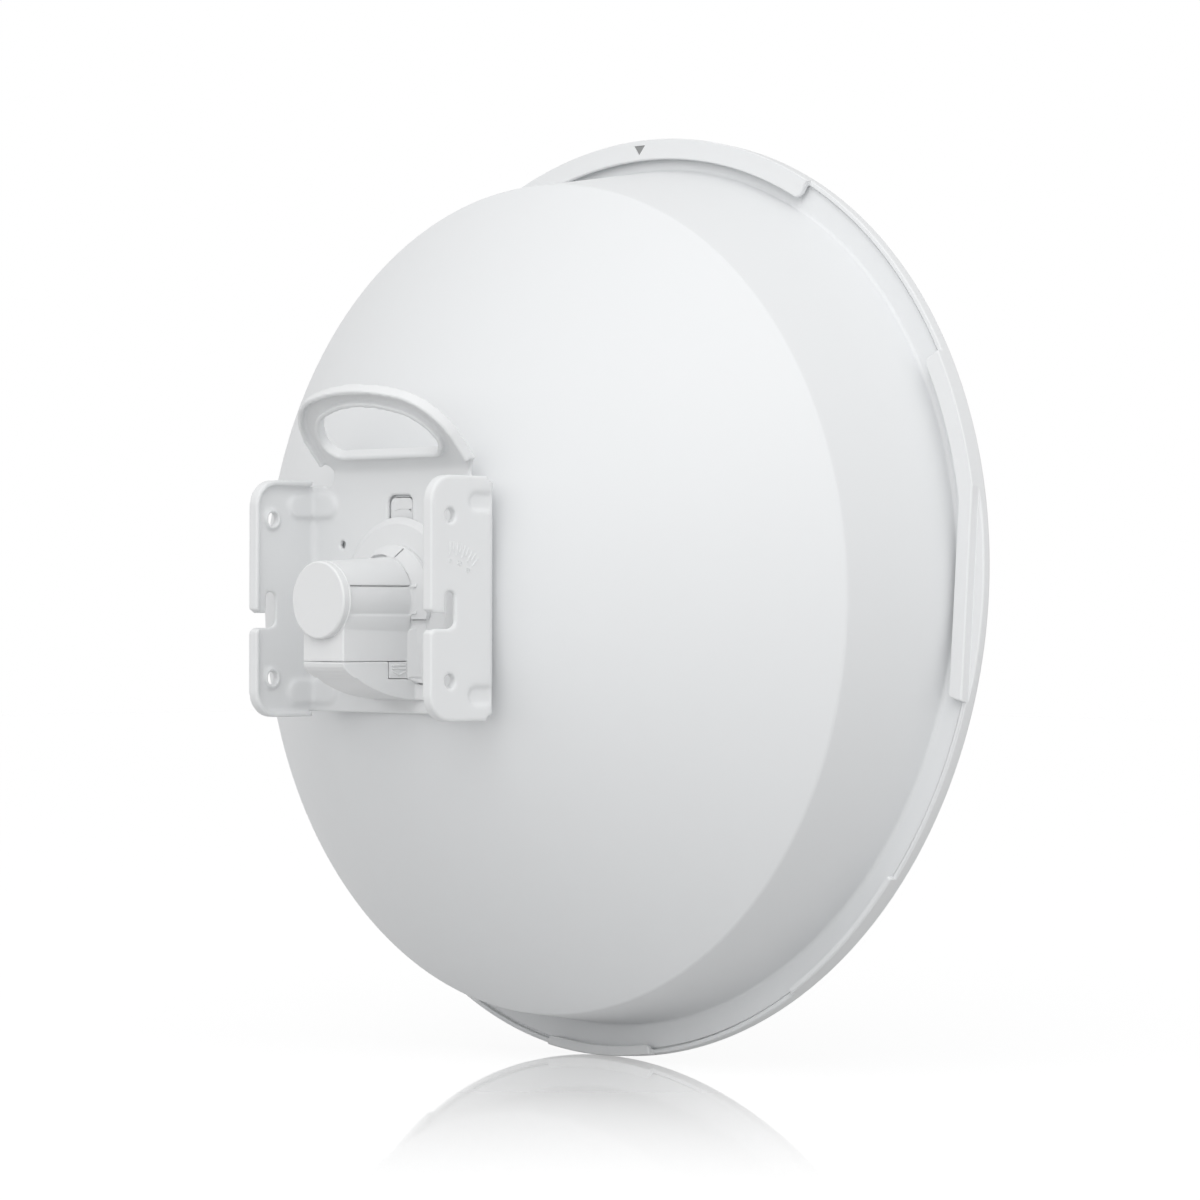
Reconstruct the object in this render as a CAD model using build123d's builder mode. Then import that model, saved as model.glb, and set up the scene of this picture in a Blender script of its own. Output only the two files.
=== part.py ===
# Outdoor wireless bridge: a shrouded dish with a flat radome, a steel channel bracket
# with a carrying handle, and a radio whose tube passes through the middle of the dish.
# Frame: origin midway between the two bracket flanges, on the line of their bolt holes.
# +Z is up, -Y is the way the antenna looks, +Y is the pole side.
from build123d import *
from math import cos, radians, sin, sqrt, tan
import os

os.makedirs("parts", exist_ok=True)

# ---------------------------------------------------------------- driving sizes, mm
# dish: a parabola that ends at a crease, then a shroud that runs out to a flange
crease_radius = 203.0
crease_distance = 117.9  # crease plane in front of the bolt line
dish_seat_radius = 47.5  # flat seat for the bracket plate
dish_wall = 1.6
shroud_flare = 11.6  # how much wider the shroud is at its front
flange_width = 10.8
flange_thickness = 2.0

# radome: its rim plane is tipped, top forward
rim_distance = 187.4
rim_gap = 1.6  # between the dish flange and the skirt
rim_rise = 2.1
rim_tilt = 4.16
rim_wall = 2.5
skirt_depth = 6.0
tab_depth = 10.0
tab_thickness = 2.0
tab_gap = 0.6  # between the dish flange and the tabs
tab_overlap = 6.3  # how far the tabs reach over the dish flange
flat_inset = 5.6  # the two straight sides of the rim lie this far inside its circle
flat_tab_width = 9.1
flat_plate_depth = 4.9
radome_wall = 2.2
radome_rise = 46.0
gate_radius = 4.0  # small flat at the middle of the moulded dome
rib_width = 3.2
top_tab_half_angle = 28.7
side_tab_angles = (60.0, 77.0)
rib_angles = (125.7, 146.4)
bottom_tab_half_angle = 9.0
mark_width = 4.8
mark_height = 3.7
mark_inset = 5.1
mark_depth = 0.7

# bracket: a folded steel channel
sheet = 2.5
bracket_width = 128.4
bracket_height = 113.7
plate_distance = 27.2  # pole-side face of the plate, in front of the bolt line
flange_reach = 12.2  # back edge of the flanges, behind the bolt line
flange_corner = 12.5
lip_depth = 6.0
lip_front_gap = 5.8
bend_radius = 3.2
bolt_hole_diameter = 6.6
bolt_spacing = 76.3
boss_diameter = 9.6
boss_height = 1.8
slot_width = 6.6
slot_bottom = 13.6
slot_entry_top = 6.9
slot_mouth_flare = 3.4
bead_width = 11.0
bead_depth = 1.7
bead_reach = 16.5
bead_height = 44.9
drain_hole_diameter = 3.8
drain_hole_place = (41.1, 26.0)
latch_window_width = 16.4
latch_window_top = 49.4
latch_window_bottom = 34.0
latch_window_corner = 3.5
bracket_screw_diameter = 5.0
bracket_screw_circle = 31.0

# handle: the top of the plate, folded back towards the pole
handle_lean = 41.0
handle_width = 104.4
handle_height = 49.4
handle_fold_rise = 5.2  # the fold lies this far above the flanges' top
handle_shoulder = 20.2
handle_rim_depth = 3.3  # rims of the outline and of the grip, turned towards the pole
handle_rim_start = 4.4
grip_half_width = 39.6
grip_bottom = 10.3
grip_top = 39.3
grip_corner = 7.0
neck_half = 47.4  # half width of the strip between the relief notches
relief_radius = 5.6
corner_step = 2.4  # the folds stop short of the lips' height

# radio housing on the pole side
tube_radius = 17.2
tube_wall = 2.0
tube_rear = 21.2
root_length = 4.5  # the tube's root stands this far out of the base
panel_recess = 0.8
panel_half_height = 7.0
cover_gap = 0.3
cap_overhang = 0.65
cap_thickness = 3.6
box_half_width = 14.1
box_shoulder = 14.0
box_bottom = 28.6
base_radius = 40.0
base_step_radius = 35.6
base_thickness = 2.8
collar_width = 8.4
collar_bottom = 9.8
recess_place = (7.0, 18.8)  # finger recess in the collar, above the tube
recess_size = (5.6, 2.2)
recess_depth = 4.4
neck_flare = 4.4
neck_drop = 8.4  # the neck reaches this far below the box
spigot_length = 9.0
fit_gap = 0.2

# cable door and its two latches
door_gap = 0.3
door_depth = 48.0
door_wall = 2.0
latch_length = 11.4
latch_height = 7.8
cable_diameter = 7.0

# release latch in the bracket window
tongue_width = 13.2
tongue_top = 47.6
tongue_thickness = 2.0

# electronics
board_clearance = 0.9
board_thickness = 1.6
board_rear = 17.0
jack_size = (16.0, 17.5, 20.4)
socket_size = (12.0, 8.5, 13.5)
floor_gap = 0.6  # between the socket's mouth and the floor
floor_thickness = 1.7
button_diameter = 4.0
button_travel = 0.5
button_place = 13.0
lamp_spots = [(-5, -13.5), (0, -13.5), (5, -13.5)]
lamp_radius = 1.0

radio_place = -60.0  # middle of the radio section on the board
processor_place = -12.0
transformer_place = 8.0
chip_offset = 8.0  # the radio's two chips, each side of its middle
radio_can = (22.0, 38.0)
processor_can = (20.0, 22.0)
pad_size = (18.0, 34.0)
spreader_size = (20.0, 40.0)
fin_count = 5
shield_height = 3.6
shield_wall = 0.4
pad_thickness = 1.0
spreader_thickness = 2.0
fin_spacing = 4.0
fin_thickness = 1.2
fin_clearance = 2.56  # between the fins and the feed tube

# feed in front of the dish
feed_radius = 18.4
feed_wall = 2.0
feed_distance = 128.0  # front end of the feed tube
rail_start = -40.0
rail_length = 80.0
rail_height = 1.6
rail_bite = 1.7  # how far the rails reach over the board's edges
rail_gap = 0.15
spigot_wall = 2.6  # between the feed tube and the dish bore
feed_cap_width = 10.6
feed_cap_length = 22.0
feed_cap_wall = 2.0
reflector_gap = 15.5  # sub-reflector in front of the feed tube

# ---------------------------------------------------------------- shared places
plate_back = -plate_distance
plate_front = plate_back - sheet
four_f = (crease_radius**2 - dish_seat_radius**2) / (crease_distance + plate_front)
dish_apex = crease_radius**2 / four_f - crease_distance
dish_seat_inside = plate_front - dish_wall
dish_bore_radius = feed_radius + spigot_wall
base_top = plate_back + base_thickness

shroud_front_radius = crease_radius + shroud_flare
flange_radius = shroud_front_radius + flange_width
rim_radius = flange_radius + rim_gap + rim_wall
tab_inner_radius = flange_radius - tab_overlap
flat_half_width = rim_radius - flat_inset
flat_tab_inner = flat_half_width - flat_tab_width
rib_inner_radius = rim_radius - rib_width
mark_radius = rim_radius - mark_inset

tube_front = base_top + root_length
panel_radius = tube_radius - panel_recess
cap_radius = tube_radius + cap_overhang
collar_radius = tube_radius + collar_width
neck_half_width = box_half_width + neck_flare
neck_bottom = box_bottom + neck_drop
feed_inside = feed_radius - feed_wall
board_width = 2 * (min(panel_radius - tube_wall, feed_inside) - board_clearance)
board_top = board_thickness / 2
floor_depth = board_top + jack_size[2] + floor_gap
feed_front = -feed_distance
feed_cap_radius = feed_radius + feed_cap_width
feed_cap_front = feed_front - feed_cap_length
reflector_distance = feed_front - reflector_gap

crease_plane = Plane(origin=(0, -crease_distance, 0), x_dir=(-1, 0, 0), z_dir=(0, 1, 0))
tilt = radians(rim_tilt)
rim_plane = Plane(
    origin=(0, -rim_distance, rim_rise), x_dir=(-1, 0, 0), z_dir=(0, cos(tilt), sin(tilt))
)
rim_axis = Axis(rim_plane.origin, rim_plane.z_dir)
rim_section = Plane(origin=rim_plane.origin, x_dir=rim_plane.x_dir, z_dir=-rim_plane.y_dir)
flange_back = tab_depth - tab_thickness - tab_gap

lean = radians(handle_lean)
handle_plane = Plane(
    origin=(0, plate_back, bracket_height / 2 + handle_fold_rise),
    x_dir=(-1, 0, 0), z_dir=(0, cos(lean), -sin(lean)),
)


def slice_at(y):
    # a sketch plane across the axis: X to the right, Z up, facing -Y
    return Plane.XZ.offset(-y)


def bowl_height(r, apex, quad):
    return apex - r * r / quad


def bowl_curve(apex, quad, inner, outer):
    # a parabola is exactly a Bezier curve with three points
    middle = (inner + outer) / 2
    start = bowl_height(inner, apex, quad)
    knee = start - 2 * inner / quad * (middle - inner)
    Bezier((inner, start), (middle, knee), (outer, bowl_height(outer, apex, quad)))


def wedge(first, last):
    # a pie slice measured clockwise from the top, wider than the rim
    far = 2 * rim_radius
    middle = (first + last) / 2
    corners = [(far * sin(radians(a)), far * cos(radians(a))) for a in (first, middle, last)]
    Polygon((0, 0), *corners, align=None, mode=Mode.INTERSECT)


def write(builder, name):
    builder.part.label = name
    export_step(builder.part, f"parts/{name}.step")


# ---------------------------------------------------------------- dish
inner_quad = (crease_radius - dish_wall) ** 2 / (
    (crease_radius - dish_wall) ** 2 / four_f + 0.6 * dish_wall
)
inner_apex = dish_apex - dish_wall
inner_crease = sqrt((inner_apex + crease_distance) * inner_quad)
inner_seat = sqrt((inner_apex - dish_seat_inside) * inner_quad)

with BuildPart() as dish_reflector:
    with BuildSketch(Plane.XY):
        with BuildLine():
            bowl_curve(dish_apex, four_f, dish_seat_radius, crease_radius)
            Polyline(
                (crease_radius, -crease_distance), (0, -crease_distance),
                (0, plate_front), (dish_seat_radius, plate_front),
            )
        make_face()
    revolve(axis=Axis.Y)
    with BuildSketch(crease_plane):
        Circle(crease_radius)
    with BuildSketch(rim_plane.offset(flange_back)):
        Circle(shroud_front_radius)
    loft()
    with BuildSketch(rim_plane.offset(flange_back)):
        Circle(flange_radius)
        Rectangle(2 * (flat_half_width - rim_wall), 3 * rim_radius, mode=Mode.INTERSECT)
    extrude(amount=-flange_thickness)
    with BuildSketch(Plane.XY):
        with BuildLine():
            bowl_curve(inner_apex, inner_quad, inner_seat, inner_crease)
            Polyline(
                (inner_crease, -crease_distance), (0, -crease_distance),
                (0, dish_seat_inside), (inner_seat, dish_seat_inside),
            )
        make_face()
    revolve(axis=Axis.Y, mode=Mode.SUBTRACT)
    with BuildSketch(crease_plane):
        Circle(inner_crease)
    with BuildSketch(rim_plane.offset(flange_back - flange_thickness)):
        Circle(shroud_front_radius - dish_wall)
    loft(mode=Mode.SUBTRACT)
    with BuildSketch(slice_at(plate_front)):
        Circle(dish_bore_radius)
        with PolarLocations(bracket_screw_circle, 4, start_angle=45):
            Circle(bracket_screw_diameter / 2 + fit_gap)
        with Locations((0, (latch_window_top + latch_window_bottom) / 2)):
            RectangleRounded(
                latch_window_width, latch_window_top - latch_window_bottom, latch_window_corner
            )
    extrude(amount=2 * dish_wall, mode=Mode.SUBTRACT)
write(dish_reflector, "dish_reflector")

# ---------------------------------------------------------------- radome
rise_radius = (rim_radius**2 + radome_rise**2) / (2 * radome_rise)


def dome_depth(r, drop):
    # how far the dome stands in front of the rim plane, with its skin drop mm thinner
    return rise_radius - radome_rise - sqrt((rise_radius - drop) ** 2 - r * r)


with BuildPart() as radome_cover:
    with BuildSketch(rim_section) as skin:
        with BuildLine():
            inside = rim_radius - rim_wall
            half = inside / 2
            outer_gate = (gate_radius, dome_depth(gate_radius, 0))
            inner_gate = (gate_radius, dome_depth(gate_radius, radome_wall))
            ThreePointArc(outer_gate, (half, dome_depth(half, 0)), (rim_radius, 0))
            Polyline(
                (rim_radius, 0), (rim_radius, skirt_depth),
                (inside, skirt_depth), (inside, dome_depth(inside, radome_wall)),
            )
            ThreePointArc(
                (inside, dome_depth(inside, radome_wall)), (half, dome_depth(half, radome_wall)),
                inner_gate,
            )
            Polyline(inner_gate, (0, inner_gate[1]), (0, outer_gate[1]), outer_gate)
        make_face()
        fillet(skin.vertices().sort_by(Axis((0, 0, 0), rim_plane.x_dir))[-2:].sort_by(Axis.Y)[:1], 1.6)
    revolve(axis=rim_axis)
    # straight sides: the skirt is cut away down to a thin plate, and a flat wall closes it
    for side in (-1, 1):
        with BuildSketch(rim_plane.offset(flat_plate_depth)):
            with Locations((side * (flat_half_width + rim_wall * 2), 0)):
                Rectangle(4 * rim_wall, rim_radius)
        extrude(amount=tab_depth, mode=Mode.SUBTRACT)
        with BuildSketch(rim_plane.offset(flat_plate_depth)):
            Circle(rim_radius)
            with Locations((side * flat_half_width, 0)):
                Rectangle(2 * rim_wall, rim_radius, mode=Mode.INTERSECT)
        extrude(amount=-radome_wall)
        with BuildSketch(rim_plane.offset(flat_plate_depth - radome_wall)):
            Circle(rim_radius)
            with Locations((side * (flat_half_width - rim_wall / 2), 0)):
                Rectangle(rim_wall, rim_radius, mode=Mode.INTERSECT)
        extrude(amount=tab_depth - flat_plate_depth + radome_wall)
        with BuildSketch(rim_plane.offset(tab_depth)):
            Circle(rim_radius)
            with Locations((side * (flat_half_width + flat_tab_inner) / 2, 0)):
                Rectangle(flat_half_width - flat_tab_inner, rim_radius, mode=Mode.INTERSECT)
            Rectangle(3 * rim_radius, 2 * sqrt(rim_radius**2 - flat_half_width**2), mode=Mode.INTERSECT)
        extrude(amount=-tab_thickness)
    tabs = [
        (-top_tab_half_angle, top_tab_half_angle, tab_inner_radius),
        (180 - bottom_tab_half_angle, 180 + bottom_tab_half_angle, tab_inner_radius),
        (side_tab_angles[0], side_tab_angles[1], tab_inner_radius),
        (-side_tab_angles[1], -side_tab_angles[0], tab_inner_radius),
        (rib_angles[0], rib_angles[1], rib_inner_radius),
        (-rib_angles[1], -rib_angles[0], rib_inner_radius),
    ]
    for first, last, inner in tabs:
        with BuildSketch(rim_plane.offset(skirt_depth)):
            Circle(rim_radius)
            Circle(rim_radius - rim_wall, mode=Mode.SUBTRACT)
            wedge(first, last)
        extrude(amount=tab_depth - skirt_depth)
        with BuildSketch(rim_plane.offset(tab_depth)):
            Circle(rim_radius)
            Circle(inner, mode=Mode.SUBTRACT)
            wedge(first, last)
        extrude(amount=-tab_thickness)
    with BuildSketch(rim_plane.offset(tab_depth)):
        Polygon(
            (-mark_width / 2, mark_radius), (mark_width / 2, mark_radius),
            (0, mark_radius - mark_height), align=None,
        )
    extrude(amount=-mark_depth, mode=Mode.SUBTRACT)
write(radome_cover, "radome_cover")

# ---------------------------------------------------------------- bracket
half_width = bracket_width / 2
half_height = bracket_height / 2
flange_middle = half_width - sheet / 2

with BuildPart() as handle_sheet:
    # the plate's middle strip with its backward fold, cut to the handle's outline
    sheet_line = plate_back - sheet / 2
    fold_drop = 30.0
    fold_height = half_height + handle_fold_rise + sheet / 2 * tan(lean / 2)
    reach = handle_height + 20
    with BuildSketch(Plane.YZ):
        with BuildLine():
            FilletPolyline(
                (sheet_line, half_height - fold_drop), (sheet_line, fold_height),
                (sheet_line + reach * sin(lean), fold_height + reach * cos(lean)),
                radius=bend_radius + sheet,
            )
        trace(line_width=sheet)
    extrude(amount=half_width, both=True)
    with BuildSketch(handle_plane) as outline:
        with BuildLine():
            shoulder = (handle_width / 2 - 0.4, handle_shoulder)
            crown = (handle_width * 0.325, handle_height - 5.5)
            foot = (handle_width / 2, -2 * fold_drop)
            Line(foot, shoulder)
            ThreePointArc(shoulder, (handle_width * 0.44, handle_height - 15), crown)
            ThreePointArc(crown, (0, handle_height), (-crown[0], crown[1]))
            ThreePointArc(
                (-crown[0], crown[1]), (-handle_width * 0.44, handle_height - 15),
                (-shoulder[0], shoulder[1]),
            )
            Polyline((-shoulder[0], shoulder[1]), (-foot[0], foot[1]), foot)
        make_face()
    extrude(amount=3 * fold_drop, both=True, mode=Mode.INTERSECT)
    # stiffening rim, turned towards the pole
    with BuildSketch(handle_plane):
        add(outline.sketch_local)
        offset(amount=-sheet, mode=Mode.SUBTRACT)
        with Locations((0, handle_height)):
            Rectangle(2 * half_width, 2 * (handle_height - handle_rim_start), mode=Mode.INTERSECT)
    extrude(amount=handle_rim_depth)


def bead_limb(plane, fold, height, away, reach, width):
    # half a slot that starts at the fold and ends in a half circle, away from the fold
    with BuildSketch(plane) as limb:
        with Locations((fold, height)):
            SlotCenterToCenter(2 * (reach - width / 2), width)
        with Locations((fold + away * bracket_height / 2, height)):
            Rectangle(bracket_height, 2 * width, mode=Mode.INTERSECT)
    return limb.sketch


with BuildPart() as mount_bracket:
    # base plate and the two folded flanges
    with BuildSketch(Plane.XY):
        with BuildLine():
            FilletPolyline(
                (-flange_middle, flange_reach), (-flange_middle, sheet_line),
                (flange_middle, sheet_line), (flange_middle, flange_reach),
                radius=bend_radius + sheet / 2,
            )
        trace(line_width=sheet)
    extrude(amount=half_height, both=True)
    flange_length = flange_reach - plate_front
    flange_centre = (flange_reach + plate_front) / 2
    with BuildSketch(Plane.YZ) as flange_outline:
        with Locations((flange_centre, 0)):
            Rectangle(flange_length, bracket_height)
        fillet(flange_outline.vertices().group_by(Axis.X)[-1], flange_corner)
    extrude(amount=bracket_width, both=True, mode=Mode.INTERSECT)
    # the folds stop a step short of the lips, above and below
    with BuildSketch(Plane.YZ):
        with GridLocations(0, 2 * half_height, 1, 2):
            with Locations((plate_front, 0)):
                Rectangle(2 * (sheet + lip_front_gap - sheet), 2 * corner_step)
    extrude(amount=bracket_width, both=True, mode=Mode.SUBTRACT)
    # lips turned inwards along the free edges of each flange
    for side in (-1, 1):
        with BuildSketch(Plane.YZ.offset(side * half_width)):
            add(flange_outline.sketch_local)
            offset(amount=-sheet, mode=Mode.SUBTRACT)
            with Locations((plate_back + flange_length / 2 + lip_front_gap - sheet, 0)):
                Rectangle(flange_length, bracket_height, mode=Mode.INTERSECT)
        extrude(amount=-side * lip_depth)
    add(handle_sheet.part)
    # beads that stiffen the folds: raised inside, then sunk outside
    raised = (sheet + bead_depth, bead_depth, bead_width, bead_reach, Mode.ADD)
    sunk = (bead_depth, 2 * bead_depth, bead_width - sheet, bead_reach - sheet / 2, Mode.SUBTRACT)
    for side in (-1, 1):
        for height in (-bead_height, bead_height):
            for inset, tall, wide, reach, mode in (raised, sunk):
                wall = Plane.YZ.offset(side * (half_width - inset))
                floor = slice_at(plate_front + inset)
                fold = side * (half_width - sheet)
                extrude(bead_limb(wall, plate_back, height, 1, reach, wide), side * tall, mode=mode)
                extrude(bead_limb(floor, fold, height, -side, reach, wide), tall, mode=mode)
    # bolt holes with drawn collars, and the hook slot of each flange
    for side in (-1, 1):
        with BuildSketch(Plane.YZ.offset(side * (half_width - sheet))):
            with GridLocations(0, bolt_spacing, 1, 2):
                Circle(boss_diameter / 2)
        extrude(amount=-side * boss_height)
        with BuildSketch(Plane.YZ.offset(side * (half_width + 1))):
            with GridLocations(0, bolt_spacing, 1, 2):
                Circle(bolt_hole_diameter / 2)
            with Locations((0, (slot_width / 2 - slot_bottom) / 2)):
                SlotOverall(slot_bottom + slot_width / 2, slot_width, rotation=90)
            entry_bottom = -slot_bottom - 0.4
            mouth = flange_reach - sheet
            Polygon(
                (0, -slot_entry_top), (mouth, -slot_entry_top),
                (mouth + 2 * sheet, -slot_entry_top + slot_mouth_flare),
                (mouth + 2 * sheet, entry_bottom - slot_mouth_flare), (mouth, entry_bottom),
                (0, entry_bottom), align=None,
            )
        extrude(amount=-side * (lip_depth + 2), mode=Mode.SUBTRACT)
    # openings in the plate
    with BuildSketch(slice_at(plate_back + 1)):
        Circle(dish_bore_radius)
        with Locations(drain_hole_place):
            Circle(drain_hole_diameter / 2)
        with Locations((0, (latch_window_top + latch_window_bottom) / 2)):
            RectangleRounded(
                latch_window_width, latch_window_top - latch_window_bottom, latch_window_corner
            )
    extrude(amount=sheet + 2, mode=Mode.SUBTRACT)
    with Locations(slice_at(plate_back)):
        with PolarLocations(bracket_screw_circle, 4, start_angle=45):
            Cone(
                bracket_screw_diameter + fit_gap, bracket_screw_diameter / 2 + fit_gap, sheet,
                align=(Align.CENTER, Align.CENTER, Align.MIN), mode=Mode.SUBTRACT,
            )
    # finger grip in the handle, with a rolled edge
    with BuildSketch(handle_plane) as grip:
        with BuildLine():
            low = (grip_half_width - grip_corner, grip_bottom)
            edge = (grip_half_width, grip_bottom + grip_corner + 2)
            crest = (grip_half_width * 0.62, grip_top - 4.6)
            ThreePointArc(low, (grip_half_width - 2.2, grip_bottom + 2.4), edge)
            ThreePointArc(edge, (grip_half_width * 0.87, grip_top - 10.4), crest)
            ThreePointArc(crest, (0, grip_top), (-crest[0], crest[1]))
            ThreePointArc(
                (-crest[0], crest[1]), (-grip_half_width * 0.87, grip_top - 10.4), (-edge[0], edge[1])
            )
            ThreePointArc(
                (-edge[0], edge[1]), (2.2 - grip_half_width, grip_bottom + 2.4), (-low[0], low[1])
            )
            Line((-low[0], low[1]), low)
        make_face()
    extrude(amount=2 * sheet, both=True, mode=Mode.SUBTRACT)
    with BuildSketch(handle_plane):
        add(grip.sketch_local)
        offset(amount=sheet)
        add(grip.sketch_local, mode=Mode.SUBTRACT)
    extrude(amount=handle_rim_depth)
    # relief notches where the handle meets the flanges
    for side in (-1, 1):
        with BuildSketch(slice_at(plate_back + 2)):
            with Locations((side * (neck_half + relief_radius), half_height + relief_radius / 2)):
                Circle(relief_radius)
        extrude(amount=sheet + 8, mode=Mode.SUBTRACT)
write(mount_bracket, "mount_bracket")

# fasteners that hold the bracket to the dish, all in one group
with BuildPart() as bracket_screws:
    with Locations(slice_at(plate_back)):
        with PolarLocations(bracket_screw_circle, 4, start_angle=45):
            Cone(
                bracket_screw_diameter, bracket_screw_diameter / 2, sheet,
                align=(Align.CENTER, Align.CENTER, Align.MIN),
            )
    screw_end = plate_back - sheet - dish_wall - 6.0
    with BuildSketch(slice_at(plate_back - sheet)):
        with PolarLocations(bracket_screw_circle, 4, start_angle=45):
            Circle(bracket_screw_diameter / 2)
    extrude(amount=plate_back - sheet - screw_end)
write(bracket_screws, "bracket_screws")

with BuildPart() as bracket_nuts:
    with BuildSketch(slice_at(dish_seat_inside)):
        with PolarLocations(bracket_screw_circle, 4, start_angle=45):
            RegularPolygon(4.6, 6)
            Circle(bracket_screw_diameter / 2 + 0.1, mode=Mode.SUBTRACT)
    extrude(amount=4.0)
write(bracket_nuts, "bracket_nuts")

# ---------------------------------------------------------------- radio, pole side
with BuildPart() as mounting_base:
    with BuildSketch(Plane.XY):
        Polygon(
            (tube_radius - tube_wall, plate_back), (base_radius, plate_back),
            (base_step_radius, base_top), (tube_radius - tube_wall, base_top), align=None,
        )
    revolve(axis=Axis.Y)
    spigot_radius = dish_bore_radius - 2 * fit_gap
    with BuildSketch(slice_at(plate_back)):
        Circle(spigot_radius)
        Circle(feed_radius + fit_gap, mode=Mode.SUBTRACT)
    extrude(amount=spigot_length)
write(mounting_base, "mounting_base")

with BuildPart() as root_collar:
    with BuildSketch(Plane.XY):
        Polygon(
            (tube_radius + fit_gap, base_top), (collar_radius, base_top),
            (collar_radius, tube_front - 1.9), (tube_radius + fit_gap, tube_front), align=None,
        )
    revolve(axis=Axis.Y)
    with BuildSketch(slice_at(tube_front + 2)):
        with Locations((0, -collar_bottom - collar_radius)):
            Rectangle(3 * collar_radius, 2 * collar_radius)
    extrude(amount=2 * base_thickness + 6, mode=Mode.SUBTRACT)
    # finger recess above the tube
    with BuildSketch(slice_at(tube_front)):
        with Locations(recess_place):
            Ellipse(*recess_size)
    extrude(amount=recess_depth - 2, mode=Mode.SUBTRACT)
write(root_collar, "root_collar")

panel_edge = sqrt(panel_radius**2 - panel_half_height**2)
tube_edge = sqrt(tube_radius**2 - panel_half_height**2)
box_length = tube_rear - tube_front

with BuildPart() as radio_body:
    with BuildSketch(slice_at(tube_rear)) as body_outline:
        with BuildLine() as body_side:
            ThreePointArc(
                (panel_edge, panel_half_height), (panel_radius, 0), (panel_edge, -panel_half_height)
            )
            Line((panel_edge, -panel_half_height), (tube_edge, -panel_half_height))
            ThreePointArc(
                (tube_edge, -panel_half_height), ((tube_edge + box_half_width) / 2 + 0.3, -10.6),
                (box_half_width, -box_shoulder),
            )
            Polyline((box_half_width, -box_shoulder), (box_half_width, -box_bottom), (0, -box_bottom))
            mirror(body_side.line, about=Plane.YZ)
            Line((-panel_edge, panel_half_height), (panel_edge, panel_half_height))
        make_face()
    extrude(amount=box_length)
    # neck that widens towards the base
    with BuildSketch(Plane.XY.offset(-box_shoulder)):
        Polygon(
            (-box_half_width, tube_front + 0.9), (box_half_width, tube_front + 0.9),
            (neck_half_width, base_top), (-neck_half_width, base_top), align=None,
        )
    extrude(amount=box_shoulder - neck_bottom)
    with BuildSketch(slice_at(tube_front)):
        Circle(tube_radius)
        with Locations((0, -tube_radius)):
            Rectangle(2 * box_half_width, 2 * (tube_radius - panel_half_height))
    extrude(amount=tube_front - base_top)
    # inside of the tube and of the box under it
    with BuildSketch(slice_at(tube_rear - tube_wall)):
        Circle(panel_radius - tube_wall)
    extrude(amount=2 * box_length, mode=Mode.SUBTRACT)
    with BuildSketch(slice_at(tube_rear - tube_wall)):
        with Locations((0, -(panel_half_height + box_bottom + 1) / 2)):
            Rectangle(2 * (box_half_width - tube_wall), box_bottom + 1 - panel_half_height)
    extrude(amount=box_length - tube_wall, mode=Mode.SUBTRACT)
    # round seat for the end cap's plug
    with BuildSketch(slice_at(tube_rear)):
        Circle(panel_radius - tube_wall - 1.0)
    extrude(amount=tube_wall, mode=Mode.SUBTRACT)
    # floor around the network socket
    floor_length = box_length - tube_wall
    with BuildSketch(Plane.XY.offset(-floor_depth)):
        with Locations((0, tube_rear - tube_wall - floor_length / 2)):
            Rectangle(2 * (box_half_width - tube_wall), floor_length)
        with Locations((0, 0.9)):
            Rectangle(socket_size[0] + 1.2, socket_size[1] + 3.4, mode=Mode.SUBTRACT)
        with Locations((0, button_place)):
            Circle(button_diameter / 2 + fit_gap, mode=Mode.SUBTRACT)
        with Locations(*lamp_spots):
            Circle(lamp_radius + fit_gap, mode=Mode.SUBTRACT)
    extrude(amount=-floor_thickness)
write(radio_body, "radio_body")

with BuildPart() as top_cover:
    with BuildSketch(slice_at(tube_rear)):
        Circle(tube_radius)
        Circle(tube_radius - tube_wall, mode=Mode.SUBTRACT)
        with Locations((0, panel_half_height + cover_gap + tube_radius)):
            Rectangle(3 * tube_radius, 2 * tube_radius, mode=Mode.INTERSECT)
    extrude(amount=box_length)
write(top_cover, "top_cover")

with BuildPart() as end_cap:
    with BuildSketch(slice_at(tube_rear + cap_thickness)):
        Circle(cap_radius)
    extrude(amount=cap_thickness)
    chamfer(end_cap.edges().filter_by(GeomType.CIRCLE).sort_by(Axis.Y)[-1], 0.5)
    with BuildSketch(slice_at(tube_rear)):
        Circle(panel_radius - tube_wall - 1.0 - fit_gap)
        Circle(panel_radius - tube_wall - 2.4, mode=Mode.SUBTRACT)
    extrude(amount=3.2)
write(end_cap, "end_cap")

# ---------------------------------------------------------------- cable door
door_top = -box_bottom - door_gap
step_y = tube_front + 0.9

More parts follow.
